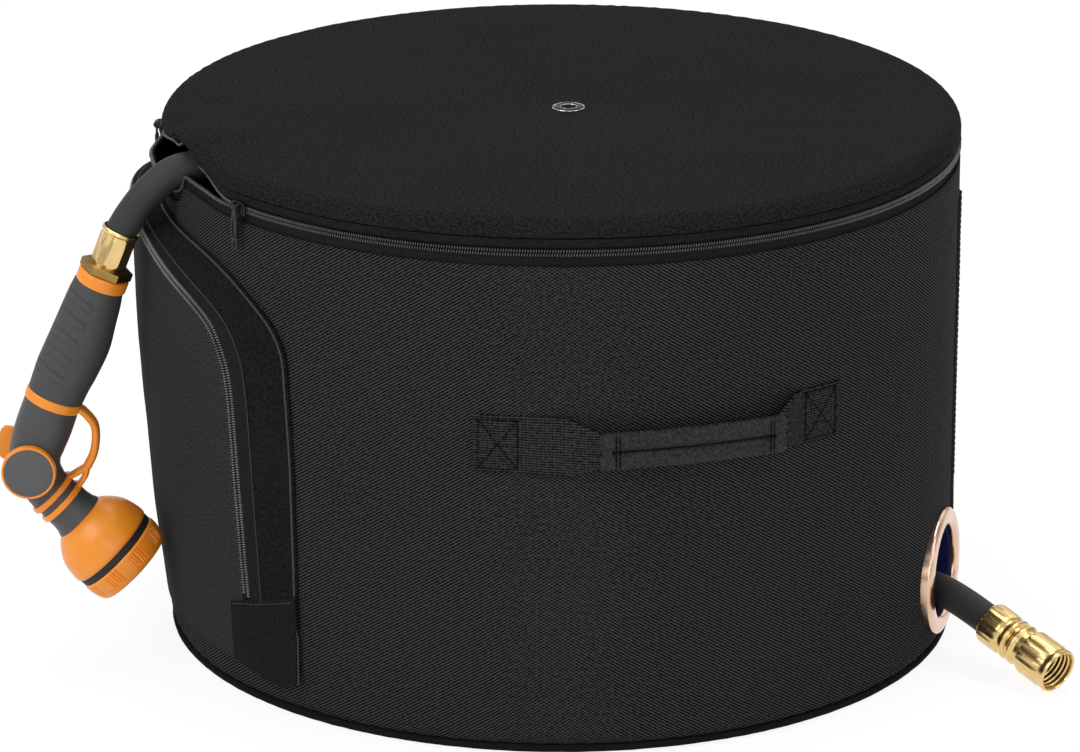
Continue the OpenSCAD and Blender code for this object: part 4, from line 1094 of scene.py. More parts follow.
def sliderPiece(name, place, node, body):
    # place: x outwards from the zip's middle line, y along the zip, z up
    l, h = sliderSet["long"], sliderSet["tall"]
    outline = [(-l, -h + 1.4), (-l + 1.4, -h), (l - 3.2, -h), (l, -h + 2.2)]
    outline += [(l, h - 2.2), (l - 3.2, h), (-l + 1.4, h), (-l, h - 1.4)]
    crown = [(x * 0.72, y * 0.62) for x, y in outline]
    rear = [(x, y * 0.9) for x, y in outline]
    lug = [(2.6, -2.6), (4.4, -2.6), (6.6, -1.6), (7.4, 0), (6.6, 1.6), (4.4, 2.4), (2.6, 2.6)]
    face, up = (1, 2, 0), (0, 2, 1)
    parts = [flatShape("plate", [outline], 1.7, turned(place, face, (1.9, 0, 0)), zipMetal, 0.45),
             flatShape("crown", [crown], 0.9, turned(place, face, (2.95, 0, 0)), zipMetal, 0.4),
             flatShape("rear", [rear], 1.7, turned(place, face, (sliderSet["back"], 0, -0.4)), zipMetal,
                       0.45),
             flatShape("web", [roundBox(1.0, 0.5, 0.1, 1)], 5.6, turned(place, face, (-0.6, -l + 1.4, 0)),
                       zipMetal, 0.05)]
    for y in (-2.95, 2.95):
        lugAt = turned(place, up, (0, y, pullSet["lift"]))
        parts.append(flatShape("lug", [lug], 1.2, lugAt, zipMetal, 0.25))
    pinAt = turned(place, up, (5.4, 0, pullSet["lift"]))
    parts.append(flatShape("pin", [circle(0.8, 16)], 7.2, pinAt, zipMetal, 0.2))
    return finishPiece(merge(name, parts), body, "slider_metal", node)


def pullPiece(name, place, node, body):
    # hangs from place's origin, the pin along y
    w, low = pullSet["width"] / 2, pullSet["width"] / 2 - pullSet["length"]
    edge = [(-1.95, -1.2), (-1.8, -2.8), (-2.0, -4.2), (-w * 0.95, -6.2), (-w, -8.5), (-w, low + 1)]
    outline = edge + arc(w, 195, 350, 15, 0, low) + [(-x, z) for x, z in reversed(edge)]
    slot = [(1.5 * math.cos(math.radians(a)), low + 0.4 + 2.2 * math.sin(math.radians(a)))
            for a in range(0, 360, 20)]
    rim = [(w * 0.98, -8), (w * 0.98, low + 5), (w * 0.55, low + 6.2), (-w * 0.55, low + 6.2),
           (-w * 0.98, low + 5), (-w * 0.98, -8), (-w * 0.5, -6.6), (w * 0.5, -6.6)]
    inner = [(x * 0.56, -15.5 + (z + 15.5) * 0.84) for x, z in rim]
    neck = [(-0.7, -1.4), (0.7, -1.4), (0.55, -4.6), (-0.55, -4.6)]
    face, barrel = (1, 2, 0), turned(place, (0, 2, 1))
    parts = [flatShape("tab", [outline, slot], 1.1, turned(place, face), zipMetal, 0.3)]
    for x in (0.62, -0.62):
        parts.append(flatShape("rim", [rim, inner], 0.8, turned(place, face, (x, 0, 0)), zipMetal, 0.22))
    parts.append(flatShape("eye", [circle(1.9, 24), circle(0.95, 14)], 4.0, barrel, zipMetal, 0.3))
    parts.append(flatShape("neck", [neck], 3.6, barrel, zipMetal, 0.2))
    return finishPiece(merge(name, parts), body, "slider_metal", node)


for where in ("front", "left"):
    th = sliderSet[where]
    sliderPiece("slider_" + where, frameAt(th, wallR, pot["zipZ"]), "zip_slider_" + where,
                "slider_" + where)
    pinAt = frameAt(th, pullSet["pin"], pot["zipZ"] + pullSet["lift"])
    pullPiece("pull_tab_" + where, pinAt, "zip_pull_" + where, "pull_" + where)
print("stage: sliders")


# pocket
pocket = {"middle": -90.0, "out": 17.3, "low": 26.0, "top": 297.0, "foot": 266.9, "thick": 2.0,
          "sewnAt": 50.7,
          "zip": [(41.3, 62), (39.9, 167), (39.2, 212), (37.7, 237), (34.2, 258), (25, 276), (13.5, 292),
                  (0, 297)],
          "sewn": [(50.7, 62), (50.2, 172), (49.5, 217), (48.5, 250), (44.1, 271.6), (34, 293), (19, 300.5),
                   (0, 303.5)]}


def archLine(half):
    # from a half line of (degrees, height): the whole arch, with its uprights straight
    both = half[:-1] + [(-d, z) for d, z in reversed(half)]
    mid = curveThrough([Vector((d, z, 0)) for d, z in both[1:-1]], 8)
    low, high = Vector((*both[0], 0)), Vector((*both[-1], 0))
    out = [low.lerp(mid[0], i / 16) for i in range(16)] + mid
    return out + [mid[-1].lerp(high, i / 16) for i in range(1, 17)]


zips, sews = archLine(pocket["zip"]), archLine(pocket["sewn"])


def swell(d, z):
    # how far the pocket stands out, d degrees from its middle
    down = pocket["top"] - max(pocket["low"], min(pocket["top"], z))
    return pocket["out"] * (1 - 0.64 * (abs(d) / 40) ** 2.2) * (1 - (down / 271) ** 2)


def pocketWave(d, z):
    return 0.8 * noise.noise(Vector((d / 9, z / 60, 2))) + 0.3 * noise.noise(Vector((d / 3.4, z / 22, 5)))


def pocketPoint(d, z, n):
    return at(pocket["middle"] + d, pocket["foot"] + swell(d, z) + n, z)


def linePoint(q, k, n):
    # a point of a line drawn in or out by k round the pocket's middle, n off the cloth
    return at(pocket["middle"] + q.x * k, pocket["foot"] + swell(q.x, q.y) + n, 120 + (q.y - 120) * k)


def outwards(line):
    return [Vector((p.x, p.y, 0)).normalized() for p in line]


rows = []
for q in zips:
    edge = Vector((q.x * 0.981, 120 + (q.y - 120) * 0.981, 0))  # just inside the zip
    levels = steps(pocket["low"], edge.y, 26)
    waves = [pocketWave(edge.x, z) * (ease((edge.y - z) / 14) * ease((z - 24) / 20)) for z in levels]
    front = [pocketPoint(-edge.x, z, w) for z, w in zip(levels, waves)]
    rear = [pocketPoint(-edge.x, z, w - pocket["thick"]) for z, w in zip(levels, waves)]
    rows.append(front + rear[::-1])
panel = gridMesh("pocket_cloth", rows, mat=pocketCloth, sharp=60)
wallUv(panel, pocket["middle"])
finishPiece(panel, "pot", "cloth_pocket", "pocket_panel")


def gussetPoint(i, w, n):
    # from the zip, w = 0, to the seam on the wall, w = 1
    zipSide = linePoint(zips[i], 1.022, 0)
    wallSide = at(pocket["middle"] + sews[i].x, pocket["foot"] - 0.9, sews[i].y)
    p = zipSide.lerp(wallSide, w)
    return p + outwards([p])[0] * (n + 1.3 * math.sin(math.pi * w) + 0.25 * noise.noise(p / 16))


over = steps(0, 1, 12)
gussetRows = [[gussetPoint(i, w, 0) for w in over] + [gussetPoint(i, w, -1.4) for w in reversed(over)]
              for i in range(len(zips))]
gusset = gridMesh("pocket_side", gussetRows, mat=gussetCloth, sharp=60)
wallUv(gusset, pocket["middle"])
finishPiece(gusset, "pot", "cloth_black", "pocket_gusset")
# tapes: (k, n) on the zip's line, and (w, n) on the gusset
onZip = ((1.004, -0.6), (1.004, 0.1), (1.012, 0.15))
onGusset = ((0.01, 0.5), (0.08, 0.6), (0.16, 0.6), (0.225, 0.6), (0.24, 0.75), (0.25, 0.1), (0.12, -0.2))
outerTape = [[linePoint(q, k, n) for k, n in onZip] + [gussetPoint(i, w, n) for w, n in onGusset]
             + [linePoint(q, 1.012, -0.6)] for i, q in enumerate(zips)]
onPanel = ((0.972, 0.9), (0.978, 0.6), (0.988, 0.2), (0.996, 0.1), (0.996, -0.6), (0.978, -0.5),
           (0.972, 0.1))
innerTape = [[linePoint(q, k, n) for k, n in onPanel] for q in zips]
for where, tapeRows in (("outer", outerTape), ("inner", innerTape)):
    tape = gridMesh("pocket_tape_" + where, tapeRows, mat=tapeCloth, sharp=60)
    finishPiece(tape, "pot", "edging", "pocket_zip_" + where)


def pocketRun(k, n, above):
    line = [linePoint(q, k, n) for q in zips if q.y > above]
    return line, outwards(line)


# the pocket's teeth take the lighter copy of the nylon: a painted highlight
for name, k, start in (("pocket_coil_outer", 1.0115, 0.1), ("pocket_coil_inner", 0.9885, 0.9)):
    places = lineUp(*pocketRun(k, 0.5, 72.0), zipSet["pitch"], start)
    finishPiece(scatter(name, places, toothStamp, paintedGlintNylon, 0.95), "pot")


def cordRows(path, size, sides=8):
    # round cord along a line on the wall
    rows = []
    for i, (p, out) in enumerate(zip(path, outwards(path))):
        ahead = (path[min(i + 1, len(path) - 1)] - path[max(i - 1, 0)]).normalized()
        side = ahead.cross(out).normalized()
        rows.append([p + size * (math.cos(a) * out + math.sin(a) * side) for a in turns(sides)])
    return rows


def sideLine(s):
    # the seam's upright below the arch
    return [at(pocket["middle"] + s * pocket["sewnAt"], pocket["foot"] - 0.5, z) for z in steps(24, 56, 6)]


seamPath = sideLine(1) + [gussetPoint(i, 0.955, 0.35) for i in range(len(zips))] + sideLine(-1)[::-1]
tapePath = [gussetPoint(i, 0.238, 0.35) for i in range(len(zips))]
for name, path, size in (("pocket_seam_cord", seamPath, 0.75), ("pocket_tape_edge", tapePath, 0.4)):
    finishPiece(gridMesh(name, cordRows(path, size), mat=thread), "pot", "edging")
stitches("pocket_stitches", [pocketRun(0.9745, 0.95, 68.0)], "pot", 4.0)

# corner patches over the lower ends of the zip; they turn round the pocket's edge at the fold
patch = {"inner": 37.8, "outer": 51.2, "high": 67.0, "rise": 18.5, "low": 27.0, "dip": 7.5, "fold": 41.2,
         "wall": 50.6}


def patchPoint(s, u, v, n):
    # u from the pocket's front to the wall, v from the top down, n off the cloth
    low = patch["low"] - patch["dip"] * min(1.0, u / 0.62) + 6.5 * ease((u - 0.7) / 0.3)
    high = patch["high"] + patch["rise"] * u
    d, z = patch["inner"] + (patch["outer"] - patch["inner"]) * u, high + (low - high) * v
    if d <= patch["fold"]:
        return pocketPoint(s * d, z, n)
    wallSide = at(pocket["middle"] + s * patch["wall"], pocket["foot"] - 0.9 + n, z)
    past = (d - patch["fold"]) / (patch["wall"] - patch["fold"])
    return pocketPoint(s * patch["fold"], z, n).lerp(wallSide, min(1.0, past) ** 0.9)


def patchFace(s, u, v):
    hem = 0.25 * ease(min(u, 1 - u, v, 1 - v) / 0.09)  # turned-in hem
    return patchPoint(s, u, v, 2.0 + hem + 0.35 * noise.noise(Vector((u * 4, v * 5, s))))


for side, s in (("right", 1), ("left", -1)):
    g = steps(0, 1, 14)
    rows = [[patchFace(s, u, v) for v in g] + [patchPoint(s, u, v, 1.5) for v in reversed(g)] for u in g]
    corner = gridMesh("pocket_patch_" + side, rows, mat=skirtCloth, sharp=60)
    wallUv(corner, pocket["middle"])
    finishPiece(corner, "pot", "cloth_black", "pocket_corner_" + side)
    line = [patchPoint(s, u, 0.05, 2.4) for u in steps(0.04, 0.9, 24)]
    stitches("pocket_patch_stitches_" + side, [(line, outwards(line))], "pot", 3.8)

# the pocket's slider, 24 mm up the straight run of the zip on the left
runStart, runEnd = (linePoint(Vector((-d, z, 0)), 1, 0) for d, z in pocket["zip"][:2])
runDir = (runEnd - runStart).normalized()
slideAt = runStart + 24 * runDir
flatOut = Vector((slideAt.x, slideAt.y, 0))
runOut = (flatOut - runDir * flatOut.dot(runDir)).normalized()
runSide = runOut.cross(runDir)
runFrame = frameOf(runOut, runDir.cross(runOut), runDir, slideAt)


def facing(out, along=0.0):
    return frameOf(runDir, runSide, runOut, slideAt + out * runOut + along * runDir)


def crossing(x, y, z):
    return frameOf(runOut, runDir, runSide, runFrame @ Vector((x, y, z)))


plate = [(-5.6, -3.2), (-4.2, -4.3), (4.0, -4.3), (6.0, -2.6), (6.0, 2.6), (4.0, 4.3), (-4.2, 4.3),
         (-5.6, 3.2)]
lug = [(2.8, 0), (6.4, 0.6), (7.3, 2.2), (6.4, 3.8), (2.8, 4.4)]
pocketSlider = merge("pocket_slider_body", [
    flatShape("plate", [plate], 1.5, facing(2.2), zipMetal, 0.4),
    flatShape("rear", [roundBox(11.6, 5.8, 1.2)], 1.1, facing(-2.8), zipMetal, 0.3),
    flatShape("web", [roundBox(1.8, 0.4, 0.1, 1)], 5.0, facing(-0.4, -5), zipMetal, 0.05),
    flatShape("lugA", [lug], 1.2, crossing(0, -2.95, 0), zipMetal, 0.25),
    flatShape("lugB", [lug], 1.2, crossing(0, 2.95, 0), zipMetal, 0.25),
    flatShape("pin", [circle(0.8, 16)], 7.2, crossing(5.2, 0, 2.2), zipMetal, 0.2)])
finishPiece(pocketSlider, "pocket_slider", "slider_metal", "pocket_slider")
pullPiece("pocket_pull_tab", turned(runFrame, (0, 1, 2), (5.2, 0, 2.2)), "pocket_pull", "pocket_pull")
print("stage: pocket")


# roll handles
handle = {"middle": 17.85, "span": 25.5, "z": 208.0, "high": 24.0, "thick": 6.2, "gap": 8.4,
          "webWide": 37.0, "webThick": 2.0}
gripR = wallR + handle["gap"]
gripA, gripB = handle["middle"] - handle["span"] / 2, handle["middle"] + handle["span"] / 2


def webRows(keys, turn, n=6):
    # keys: angle, inside radius, lower and upper edge, thickness
    line = curveThrough([Vector(k[:3]) for k in keys], n)
    rest = curveThrough([Vector((k[3], k[4], 0)) for k in keys], n)
    rows = []
    for a, b in zip(line, rest):
        t, r, z0, z1, thick = a.x, a.y, a.z, b.x, b.y
        # lies on the wall's own swells
        wave = wallWave(t + turn, (z0 + z1) / 2) * ease((wallR + 4 - r) / 3.5)
        levels = steps(z0, z1, 8)
        inside = [at(t + turn, r + wave, z) for z in levels]
        outside = [at(t + turn, r + wave + thick * (1 - 0.35 * abs(2 * k / 8 - 1) ** 6), z)
                   for k, z in enumerate(levels)]
        rows.append(inside + outside[::-1])
    return rows


def webKeys(z, h, r, w):
    # the wide strap, gathered into the roll: near end, then far end
    a, b, mid, g = gripA, gripB, handle["z"], handle["high"] / 2
    near = [(a - d, r, z - h, z + h, w) for d in (17, 15.2, 12.4, 10.3)]
    near += [(a - 6.5, r + 2.4, z - h - 0.5, z + h, w), (a - 3.7, r + 5.2, z - h + 0.6, z + h - 0.6, w),
             (a - 1.8, gripR - 0.6, mid - g - 1.5, mid + g + 3, w + 1),
             (a + 0.5, gripR + 0.5, mid - g + 0.6, mid + g - 0.6, 4.8)]
    far = [(b - 0.5, gripR + 0.5, mid - g + 0.6, mid + g - 0.6, 4.8),
           (b + 1.8, gripR - 1.4, mid - g, mid + g + 8, w + 0.6),
           (b + 4.2, r + 0.1, z - h + 3, z + h + 2, w)]
    return near, far + [(b + d, r, z - h + 3, z + h + 2, w) for d in (6.4, 8.8, 11.1)]


def rollRows(up, turn):
    # one of the two rolls of the grip: up is -1 for the lower, 1 for the upper
    rows = []
    for t in steps(gripA, gripB, 56):
        f = (t - gripA) / handle["span"]
        pinch = 1 - 0.3 * (1 - ease(min(f, 1 - f) / 0.07))
        full = 1 + 0.05 * noise.noise(Vector((t / 3, up, turn)))
        straight = 2.4 * math.sin(math.pi * f)  # flatter than the wall's own round
        c = at(t + turn, gripR + handle["thick"] / 2 + 0.6 - straight,
               handle["z"] + up * (handle["high"] / 4 + 0.1))
        out = at(t + turn, 1, 0)
        rows.append([c + out * p * pinch * full + Vector((0, 0, q * (1 - 0.1 * (1 - pinch)) * full))
                     for p, q in oval(4.5, handle["high"] / 4 + 0.1, 24, 0.96)])
    return rows


def cuffRows(start, turn):
    # a sewn end of the roll
    rows = []
    for t in steps(start, start + 1.3, 4):
        out = at(t + turn, 1, 0)
        c = at(t + turn, gripR + handle["thick"] / 2, handle["z"])
        rows.append([c + out * p + Vector((0, 0, q))
                     for p, q in oval(handle["thick"] / 2 + 0.1, handle["high"] / 2 + 0.25, 28, 0.5)])
    return rows


def makeHandle(side, turn, body):
    a, b, z, r = gripA, gripB, handle["z"] + 1, wallR + 0.2
    h, g, w = handle["webWide"] / 2, handle["high"] / 2, handle["webThick"]
    keys = webKeys(z, h, r, w)
    for end, rows, onPot, onGrip in (("near", keys[0], a - 8, a - 0.6),
                                     ("far", keys[1], b + 5, b + 0.6)):
        web = gridMesh("web_" + side + "_" + end, webRows(rows, turn), mat=webCloth, sharp=55)
        wallUv(web, turn)
        if end == "near":
            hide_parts("handle_" + side + "_webbing")
        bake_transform(web)
    rolls = [gridMesh("roll", rollRows(up, turn), mat=gripCloth) for up in (-1, 1)]
    rolls += [gridMesh("cuff", cuffRows(start, turn), mat=gripCloth)
              for start in (gripA + 0.2, gripB - 1.5)]
    grip = merge("grip_roll_" + side, rolls)
    wallUv(grip, turn)
    smoothShade(grip.data, 60)
    finishPiece(grip, body, "webbing", "handle_" + side + "_grip")
    ends = []
    for t in (gripA + 2.0, gripA + 2.5, gripB - 2.5, gripB - 2.0):
        levels = steps(handle["z"] - g + 2.4, handle["z"] + g - 2.4, 8)
        ends.append(([at(t + turn, gripR + handle["thick"] + 1.75, v) for v in levels],
                     [at(t + turn, 1, 0)] * 9))
    stitches("grip_stitches_" + side, ends, body, 2.6, blackThread)
    boxes = []
    for t0, t1, z0, z1 in ((a - 16.3, a - 10.9, z - h + 2.2, z + h - 2.2),
                           (b + 4.9, b + 10.2, z - h + 5.2, z + h - 0.2)):
        corners = [(t0, z0), (t1, z0), (t1, z1), (t0, z1), (t0, z0), (t1, z1), (t1, z0), (t0, z1)]
        path = []
        for (ta, za), (tb, zb) in zip(corners, corners[1:]):
            path += [(ta + (tb - ta) * k / 12, za + (zb - za) * k / 12) for k in range(12)]
        path.append(corners[-1])
        boxes.append(([onWall(t + turn, r + w + 0.12, v) for t, v in path],
                      [at(t + turn, 1, 0) for t, v in path]))
    stitches("web_stitches_" + side, boxes, "pot", 3.6, blackThread)


makeHandle("front", 0.0, "grip_front")
makeHandle("back", 175.0, "grip_back")
print("stage: handles")


# port
paintNodes(portMetal, "port_ring_front", "port_ring_back")
sock = [(30.75, -1.0), (30.75, -5), (30.7, -9.4), (29.8, -9.4), (29.7, -5), (29.7, -1.2), (30.2, -0.7)]
portSock = lathe("port_lining", sock, portFrame(), 96, navyCloth, closed=True,
                 wave=lambda a, r, z: -0.25 * (1 + math.sin(9 * a + z)) if r < 30 else 0.0)
finishPiece(portSock, "pot", "port_cloth", "port_sleeve")


# base
basePlate = [(0.0, 2.1), (60, 2.1), (120, 2.1), (180, 2.1), (240, 2.1), (258.1, 2.1), (258.2, 1.2),
             (257.6, 0.05), (240, 0.0), (180, 0.0), (120, 0.0), (60, 0.0), (0.0, 0.0)]
baseCloth = lathe("base_cloth", basePlate, Matrix(), 180, pipingCloth)
flatUv(baseCloth)
finishPiece(baseCloth, "pot", "cloth_black", "base_panel")


# coupling
def facets(n, low, high, depth, above):
    # n flats on a round piece, between two heights and outside a radius
    def wave(a, r, z):
        if r <= above or not low <= z <= high:
            return 0.0
        local = a % (2 * math.pi / n) - math.pi / n
        return depth * r * (math.cos(math.pi / n) / math.cos(local) - 1)
    return wave


coupling = {
    "sleeve": [(10.7, -4), (11.4, -4.2), (13.2, -3.6), (14.2, -2.2), (14.5, -0.6), (14.5, 5), (14.5, 10),
               (14.4, 12.6), (13.7, 14.0), (13.0, 14.8), (12.9, 15.6), (10.7, 15.6)],
    "nut": [(10.1, 33.1), (13.4, 33.0), (14.4, 33.5), (15.2, 34.8), (15.5, 36.2), (15.5, 40), (15.5, 48),
            (15.5, 53.0), (15.1, 54.2), (15.1, 56.4), (15.45, 57.2), (15.4, 58.8), (14.8, 59.8),
            (14.2, 60.0), (13.7, 59.8), (13.25, 59.2)],
    "nutInside": [(12.95, 40.9), (12.95, 36.1), (10.1, 36.0)],
    "threadZ": 45.2, "threadPitch": 3.2, "threadTurns": 4, "sleeveFlats": 24, "nutFlats": 22}
cz = hose["couplingDir"]
cx = Vector((0, 0, 1)).cross(cz).normalized()
onCoupling = frameOf(cx, cz.cross(cx), cz, hose["couplingAt"])
sleevePiece = lathe("coupling_back", coupling["sleeve"], onCoupling, 8 * coupling["sleeveFlats"], brass,
                    closed=True, sharp=28, wave=facets(coupling["sleeveFlats"], -1.0, 12.8, 2.2, 13))
finishPiece(sleevePiece, "pot", "brass", "coupling_sleeve")
paintNodes(brass, "coupling_tail")
paintNodes(washerRubber, "coupling_washer")
threads = [(13.2, 41)]
for k in range(coupling["threadTurns"]):
    z = coupling["threadZ"] + coupling["threadPitch"] * k
    threads += [(13.2, z), (12.45, z + 0.7), (12.45, z + 1.3), (13.2, z + 2.0)]
nutPiece = lathe("coupling_mouth", coupling["nut"] + threads[::-1] + coupling["nutInside"], onCoupling,
                 8 * coupling["nutFlats"], brass, closed=True, sharp=28,
                 wave=facets(coupling["nutFlats"], 35.5, 53.2, 2.2, 15))
finishPiece(nutPiece, "coupling_nut", "brass", "coupling_nut")
print("stage: coupling")


# nozzle
nz = hose["nozzleDir"]
nx = Vector((nz.z, 0, -nz.x))
onNozzle = frameOf(nx, nz.cross(nx), nz, hose["nozzleAt"])
headDir = Vector((1, 0, -1)).normalized()
headAt = Vector((-318, -88, 96))
onHead = frameOf(Vector((-headDir.z, 0, headDir.x)), Vector((0, 1, 0)), headDir, headAt)
nozzle = {
    "ferrule": [(10.7, 0.4), (11.0, -0.5), (11.8, -0.9), (12.6, -0.4), (12.8, 0.6), (12.3, 1.6),
                (11.6, 2.4), (11.6, 3.2), (12.2, 4.2), (12.2, 12), (12.2, 21.5), (11.6, 23), (11.4, 25),
                (6.2, 25), (6.2, 12.2), (10.7, 12.1)],
    "collar": [(5.2, 31.05), (15.6, 31.05), (16.6, 31.4), (17.0, 32.3), (17.05, 35.4), (17.0, 38.6),
               (16.5, 39.6), (5.2, 39.8)],
    "band": [(121.3, 18.3), (121.7, 18.9), (122.6, 19.15), (126.9, 19.1), (127.8, 18.85), (128.1, 18.3)],
    "cap": [(0.0, 16.6), (16.9, 16.6), (17.4, 17.4), (17.4, 20.6), (16.9, 21.6), (16.3, 21.9),
            (15.9, 21.75), (15.4, 21.95), (8, 22.15), (0.0, 22.2)],
    "capRim": [(16.2, 16.8), (17.9, 16.8), (18.05, 18), (18.05, 21.0), (17.7, 22.0), (17.1, 22.35),
               (16.5, 22.2), (16.2, 21.8)],
    "pivot": [(0.0, -16.5), (3.9, -16.5), (3.9, -21.6), (6.9, -21.6), (6.9, -22.6), (6.2, -23.3),
              (2.4, -23.4), (1.8, -22.8), (0.0, -22.8)],
    "lever": [(14, -12.6), (20, -12), (24.5, -10.8), (26, -8), (26, 6), (24.6, 9), (20, 10.4), (14, 12)],
    "guard": [(-16.6, 124.6), (-21.5, 126.4), (-29.2, 131.4), (-33.4, 139.6), (-35.7, 150), (-35.2, 160)],
    "neck": [(0, -28), (15.4, -28), (15.6, -26.4), (15.6, -21.6), (15.4, -20.6), (15.4, -18.4),
             (15.6, -17.4), (15.6, -13.4), (15.8, -12.6), (15.8, -8), (16.4, -4), (17.9, -0.1), (0, -0.1)],
    "neckRing": [(15.2, 0), (17.0, 0), (17.6, 0.7), (17.6, 3.3), (17.0, 4.0), (15.2, 4.0)],
    "bell": [(18.0, 0.6), (20.8, 2.6), (23.6, 5.6), (26.6, 9.4), (29.2, 14.0), (30.6, 19.2), (31.4, 24.0),
             (31.6, 27.4)],
    "bellLip": [(31.4, 28.8), (30.8, 29.6), (24.5, 29.6), (24.5, 33), (4, 33)],
    "darkBand": [(24.6, 29.7), (30.2, 29.7), (30.6, 30.2), (30.7, 32), (30.6, 33.9), (30.2, 34.4),
                 (24.6, 34.4)],
    "face": [(22.6, 34.7), (30.4, 34.7), (31.0, 35.2), (31.3, 36.3), (31.3, 36.8), (31.25, 39),
             (31.0, 41.5), (30.5, 44), (29.9, 46.2), (29.6, 46.9), (29.0, 48.6), (28.2, 49.8), (27.2, 50.3),
             (25.4, 50.4), (23.6, 50.0), (22.9, 49.0), (22.6, 47.5)],
    "plate": [(0, 33.4), (22.2, 33.4), (22.2, 45.6), (21.6, 46.6), (20.4, 46.9), (19.4, 46.4), (18.6, 46.4),
              (17.8, 47.2), (9.2, 47.7), (8.4, 47.2), (7.6, 47.2), (6.9, 47.8), (0, 48.0)],
    "capAt": 172, "leverIn": -19.3, "hexRadius": 17.6, "hexThick": 6.0, "hexAt": 28,
    "jets": ((6, 4.2), (16, 13.4), (22, 16.4))}
ferruleShape = lathe("nozzle_ferrule_brass", nozzle["ferrule"], onNozzle, 9 * 8, brass, closed=True,
                     sharp=28, wave=facets(9, 4, 22, 1.3, 12))
ferrule = finishPiece(ferruleShape, "pot", "brass", "nozzle_ferrule")
hexShape = flatShape("nozzle_hex_nut", [circle(nozzle["hexRadius"], 6), circle(6.1, 32)],
                     nozzle["hexThick"], onNozzle @ Matrix.Translation((0, 0, nozzle["hexAt"])), bronze,
                     0.9, 3)
hexPiece = finishPiece(hexShape, "pot", "brass", "nozzle_hex")
collarShape = lathe("nozzle_collar_ring", nozzle["collar"], onNozzle, 64, orangePlastic, closed=True)
collar = finishPiece(collarShape, "pot", "nozzle_orange", "nozzle_collar")

# handle: height, shift towards the front, half widths; raised bars on its left half
gripKeys = [(39.9, 0.8, 16.4, 15.4), (42, 0.7, 16.9, 15.7), (50, 0.4, 18, 16.2), (62, 0, 19, 17),
            (80, -0.6, 20.4, 18), (100, 0.6, 20.2, 18), (110, 1.2, 19.4, 17.6), (121.4, 1.4, 18.6, 17.2)]
bars = {"count": 5, "first": 49.0, "pitch": 13.2, "wide": 5.6, "from": -172.0, "to": -88.0, "slant": 4.0,
        "raise": 0.55, "groove": 0.6}
gripCurve = curveThrough([Vector((k[0], k[1], k[2])) for k in gripKeys], 24)
gripDepth = curveThrough([Vector((k[0], k[3], 0)) for k in gripKeys], 24)


def barRelief(angle, z):
    # raised bars with a groove round each, on the grip's left half
    lean = bars["slant"] * (angle - bars["from"]) / (bars["to"] - bars["from"])
    best = 0.0
    for k in range(bars["count"]):
        dz = abs(z - (bars["first"] + k * bars["pitch"] + lean)) - bars["wide"] / 2
        da = (abs(angle - (bars["from"] + bars["to"]) / 2) - (bars["to"] - bars["from"]) / 2) * 0.32
        d = max(dz, da)
        rise = bars["raise"] * ease(-d / 0.7) if d < 0 else 0.0
        best += rise - bars["groove"] * math.exp(-(d / 0.65) ** 2)
    return best


gripRows = []
for a, b in zip(gripCurve, gripDepth):
    row = []
    for angle in steps(-180, 180, 96)[:-1]:
        c, s = math.cos(math.radians(angle)), math.sin(math.radians(angle))
        relief = barRelief(angle, a.x)
        row.append(onNozzle @ Vector((a.y - (a.z + relief) * c, (b.y + relief) * s, a.x)))
    gripRows.append(row)
gripPiece = finishPiece(gridMesh("nozzle_handle", gripRows, mat=gripRubber, sharp=50), "pot", "nozzle_dark",
                        "nozzle_grip")
bandRows = [[onNozzle @ Vector((1.6 + x, y, z)) for x, y in oval(w, w - 1.3, 64)]
            for z, w in nozzle["band"]]
bandPiece = gridMesh("nozzle_band_ring", bandRows, mat=orangePlastic, sharp=50)
finishPiece(bandPiece, "pot", "nozzle_orange", "nozzle_band")

# elbow: x, z, turn in degrees, half widths
elbowKeys = [(-333.9, 175.4, 248.5, 18.4, 17.2), (-339.5, 160, 250, 18.6, 17), (-344, 147, 256, 17.8, 16.8),
             (-346, 136, 275, 17, 16.6), (-343.5, 125, 298, 16, 15.8), (-337.9, 115.9, 315, 15.4, 15.4)]
elbowLine = curveThrough([Vector(k[:3]) for k in elbowKeys], 8)
elbowSize = curveThrough([Vector((k[3], k[4], 0)) for k in elbowKeys], 8)
elbowRows = []
for a, b in zip(elbowLine, elbowSize):
    t = math.radians(a.z)
    elbowRows.append([Vector((a.x + p * math.sin(t), headAt.y + q, a.y - p * math.cos(t)))
                      for p, q in oval(b.x, b.y, 56)])
finishPiece(gridMesh("nozzle_elbow", elbowRows, mat=greyPlastic, sharp=50), "pot", "nozzle_dark",
            "nozzle_body")

# round cap with its pivot, and the flow lever
onCap = onNozzle @ Matrix.Translation((0, 0, nozzle["capAt"])) @ Matrix.Rotation(math.radians(90), 4, "X")
capParts = [lathe("nozzle_cap_face", nozzle["cap"], onCap, 96, capPlastic),
            lathe("nozzle_cap_rim", nozzle["capRim"], onCap, 96, orangePlastic, closed=True),
            lathe("pivot", nozzle["pivot"], onCap, 48, zipMetal)]
finishPiece(merge("nozzle_cap_disc", capParts), "pot", "nozzle_dark", "nozzle_cap")
leverPiece = flatShape("nozzle_lever_wing", [arc(16.8, 50, 311, 10) + nozzle["lever"], circle(4.1, 32)],
                       4.0, onCap @ Matrix.Translation((0, 0, nozzle["leverIn"])), orangePlastic, 0.8, 3)
finishPiece(leverPiece, "nozzle_lever", "nozzle_orange", "nozzle_lever")

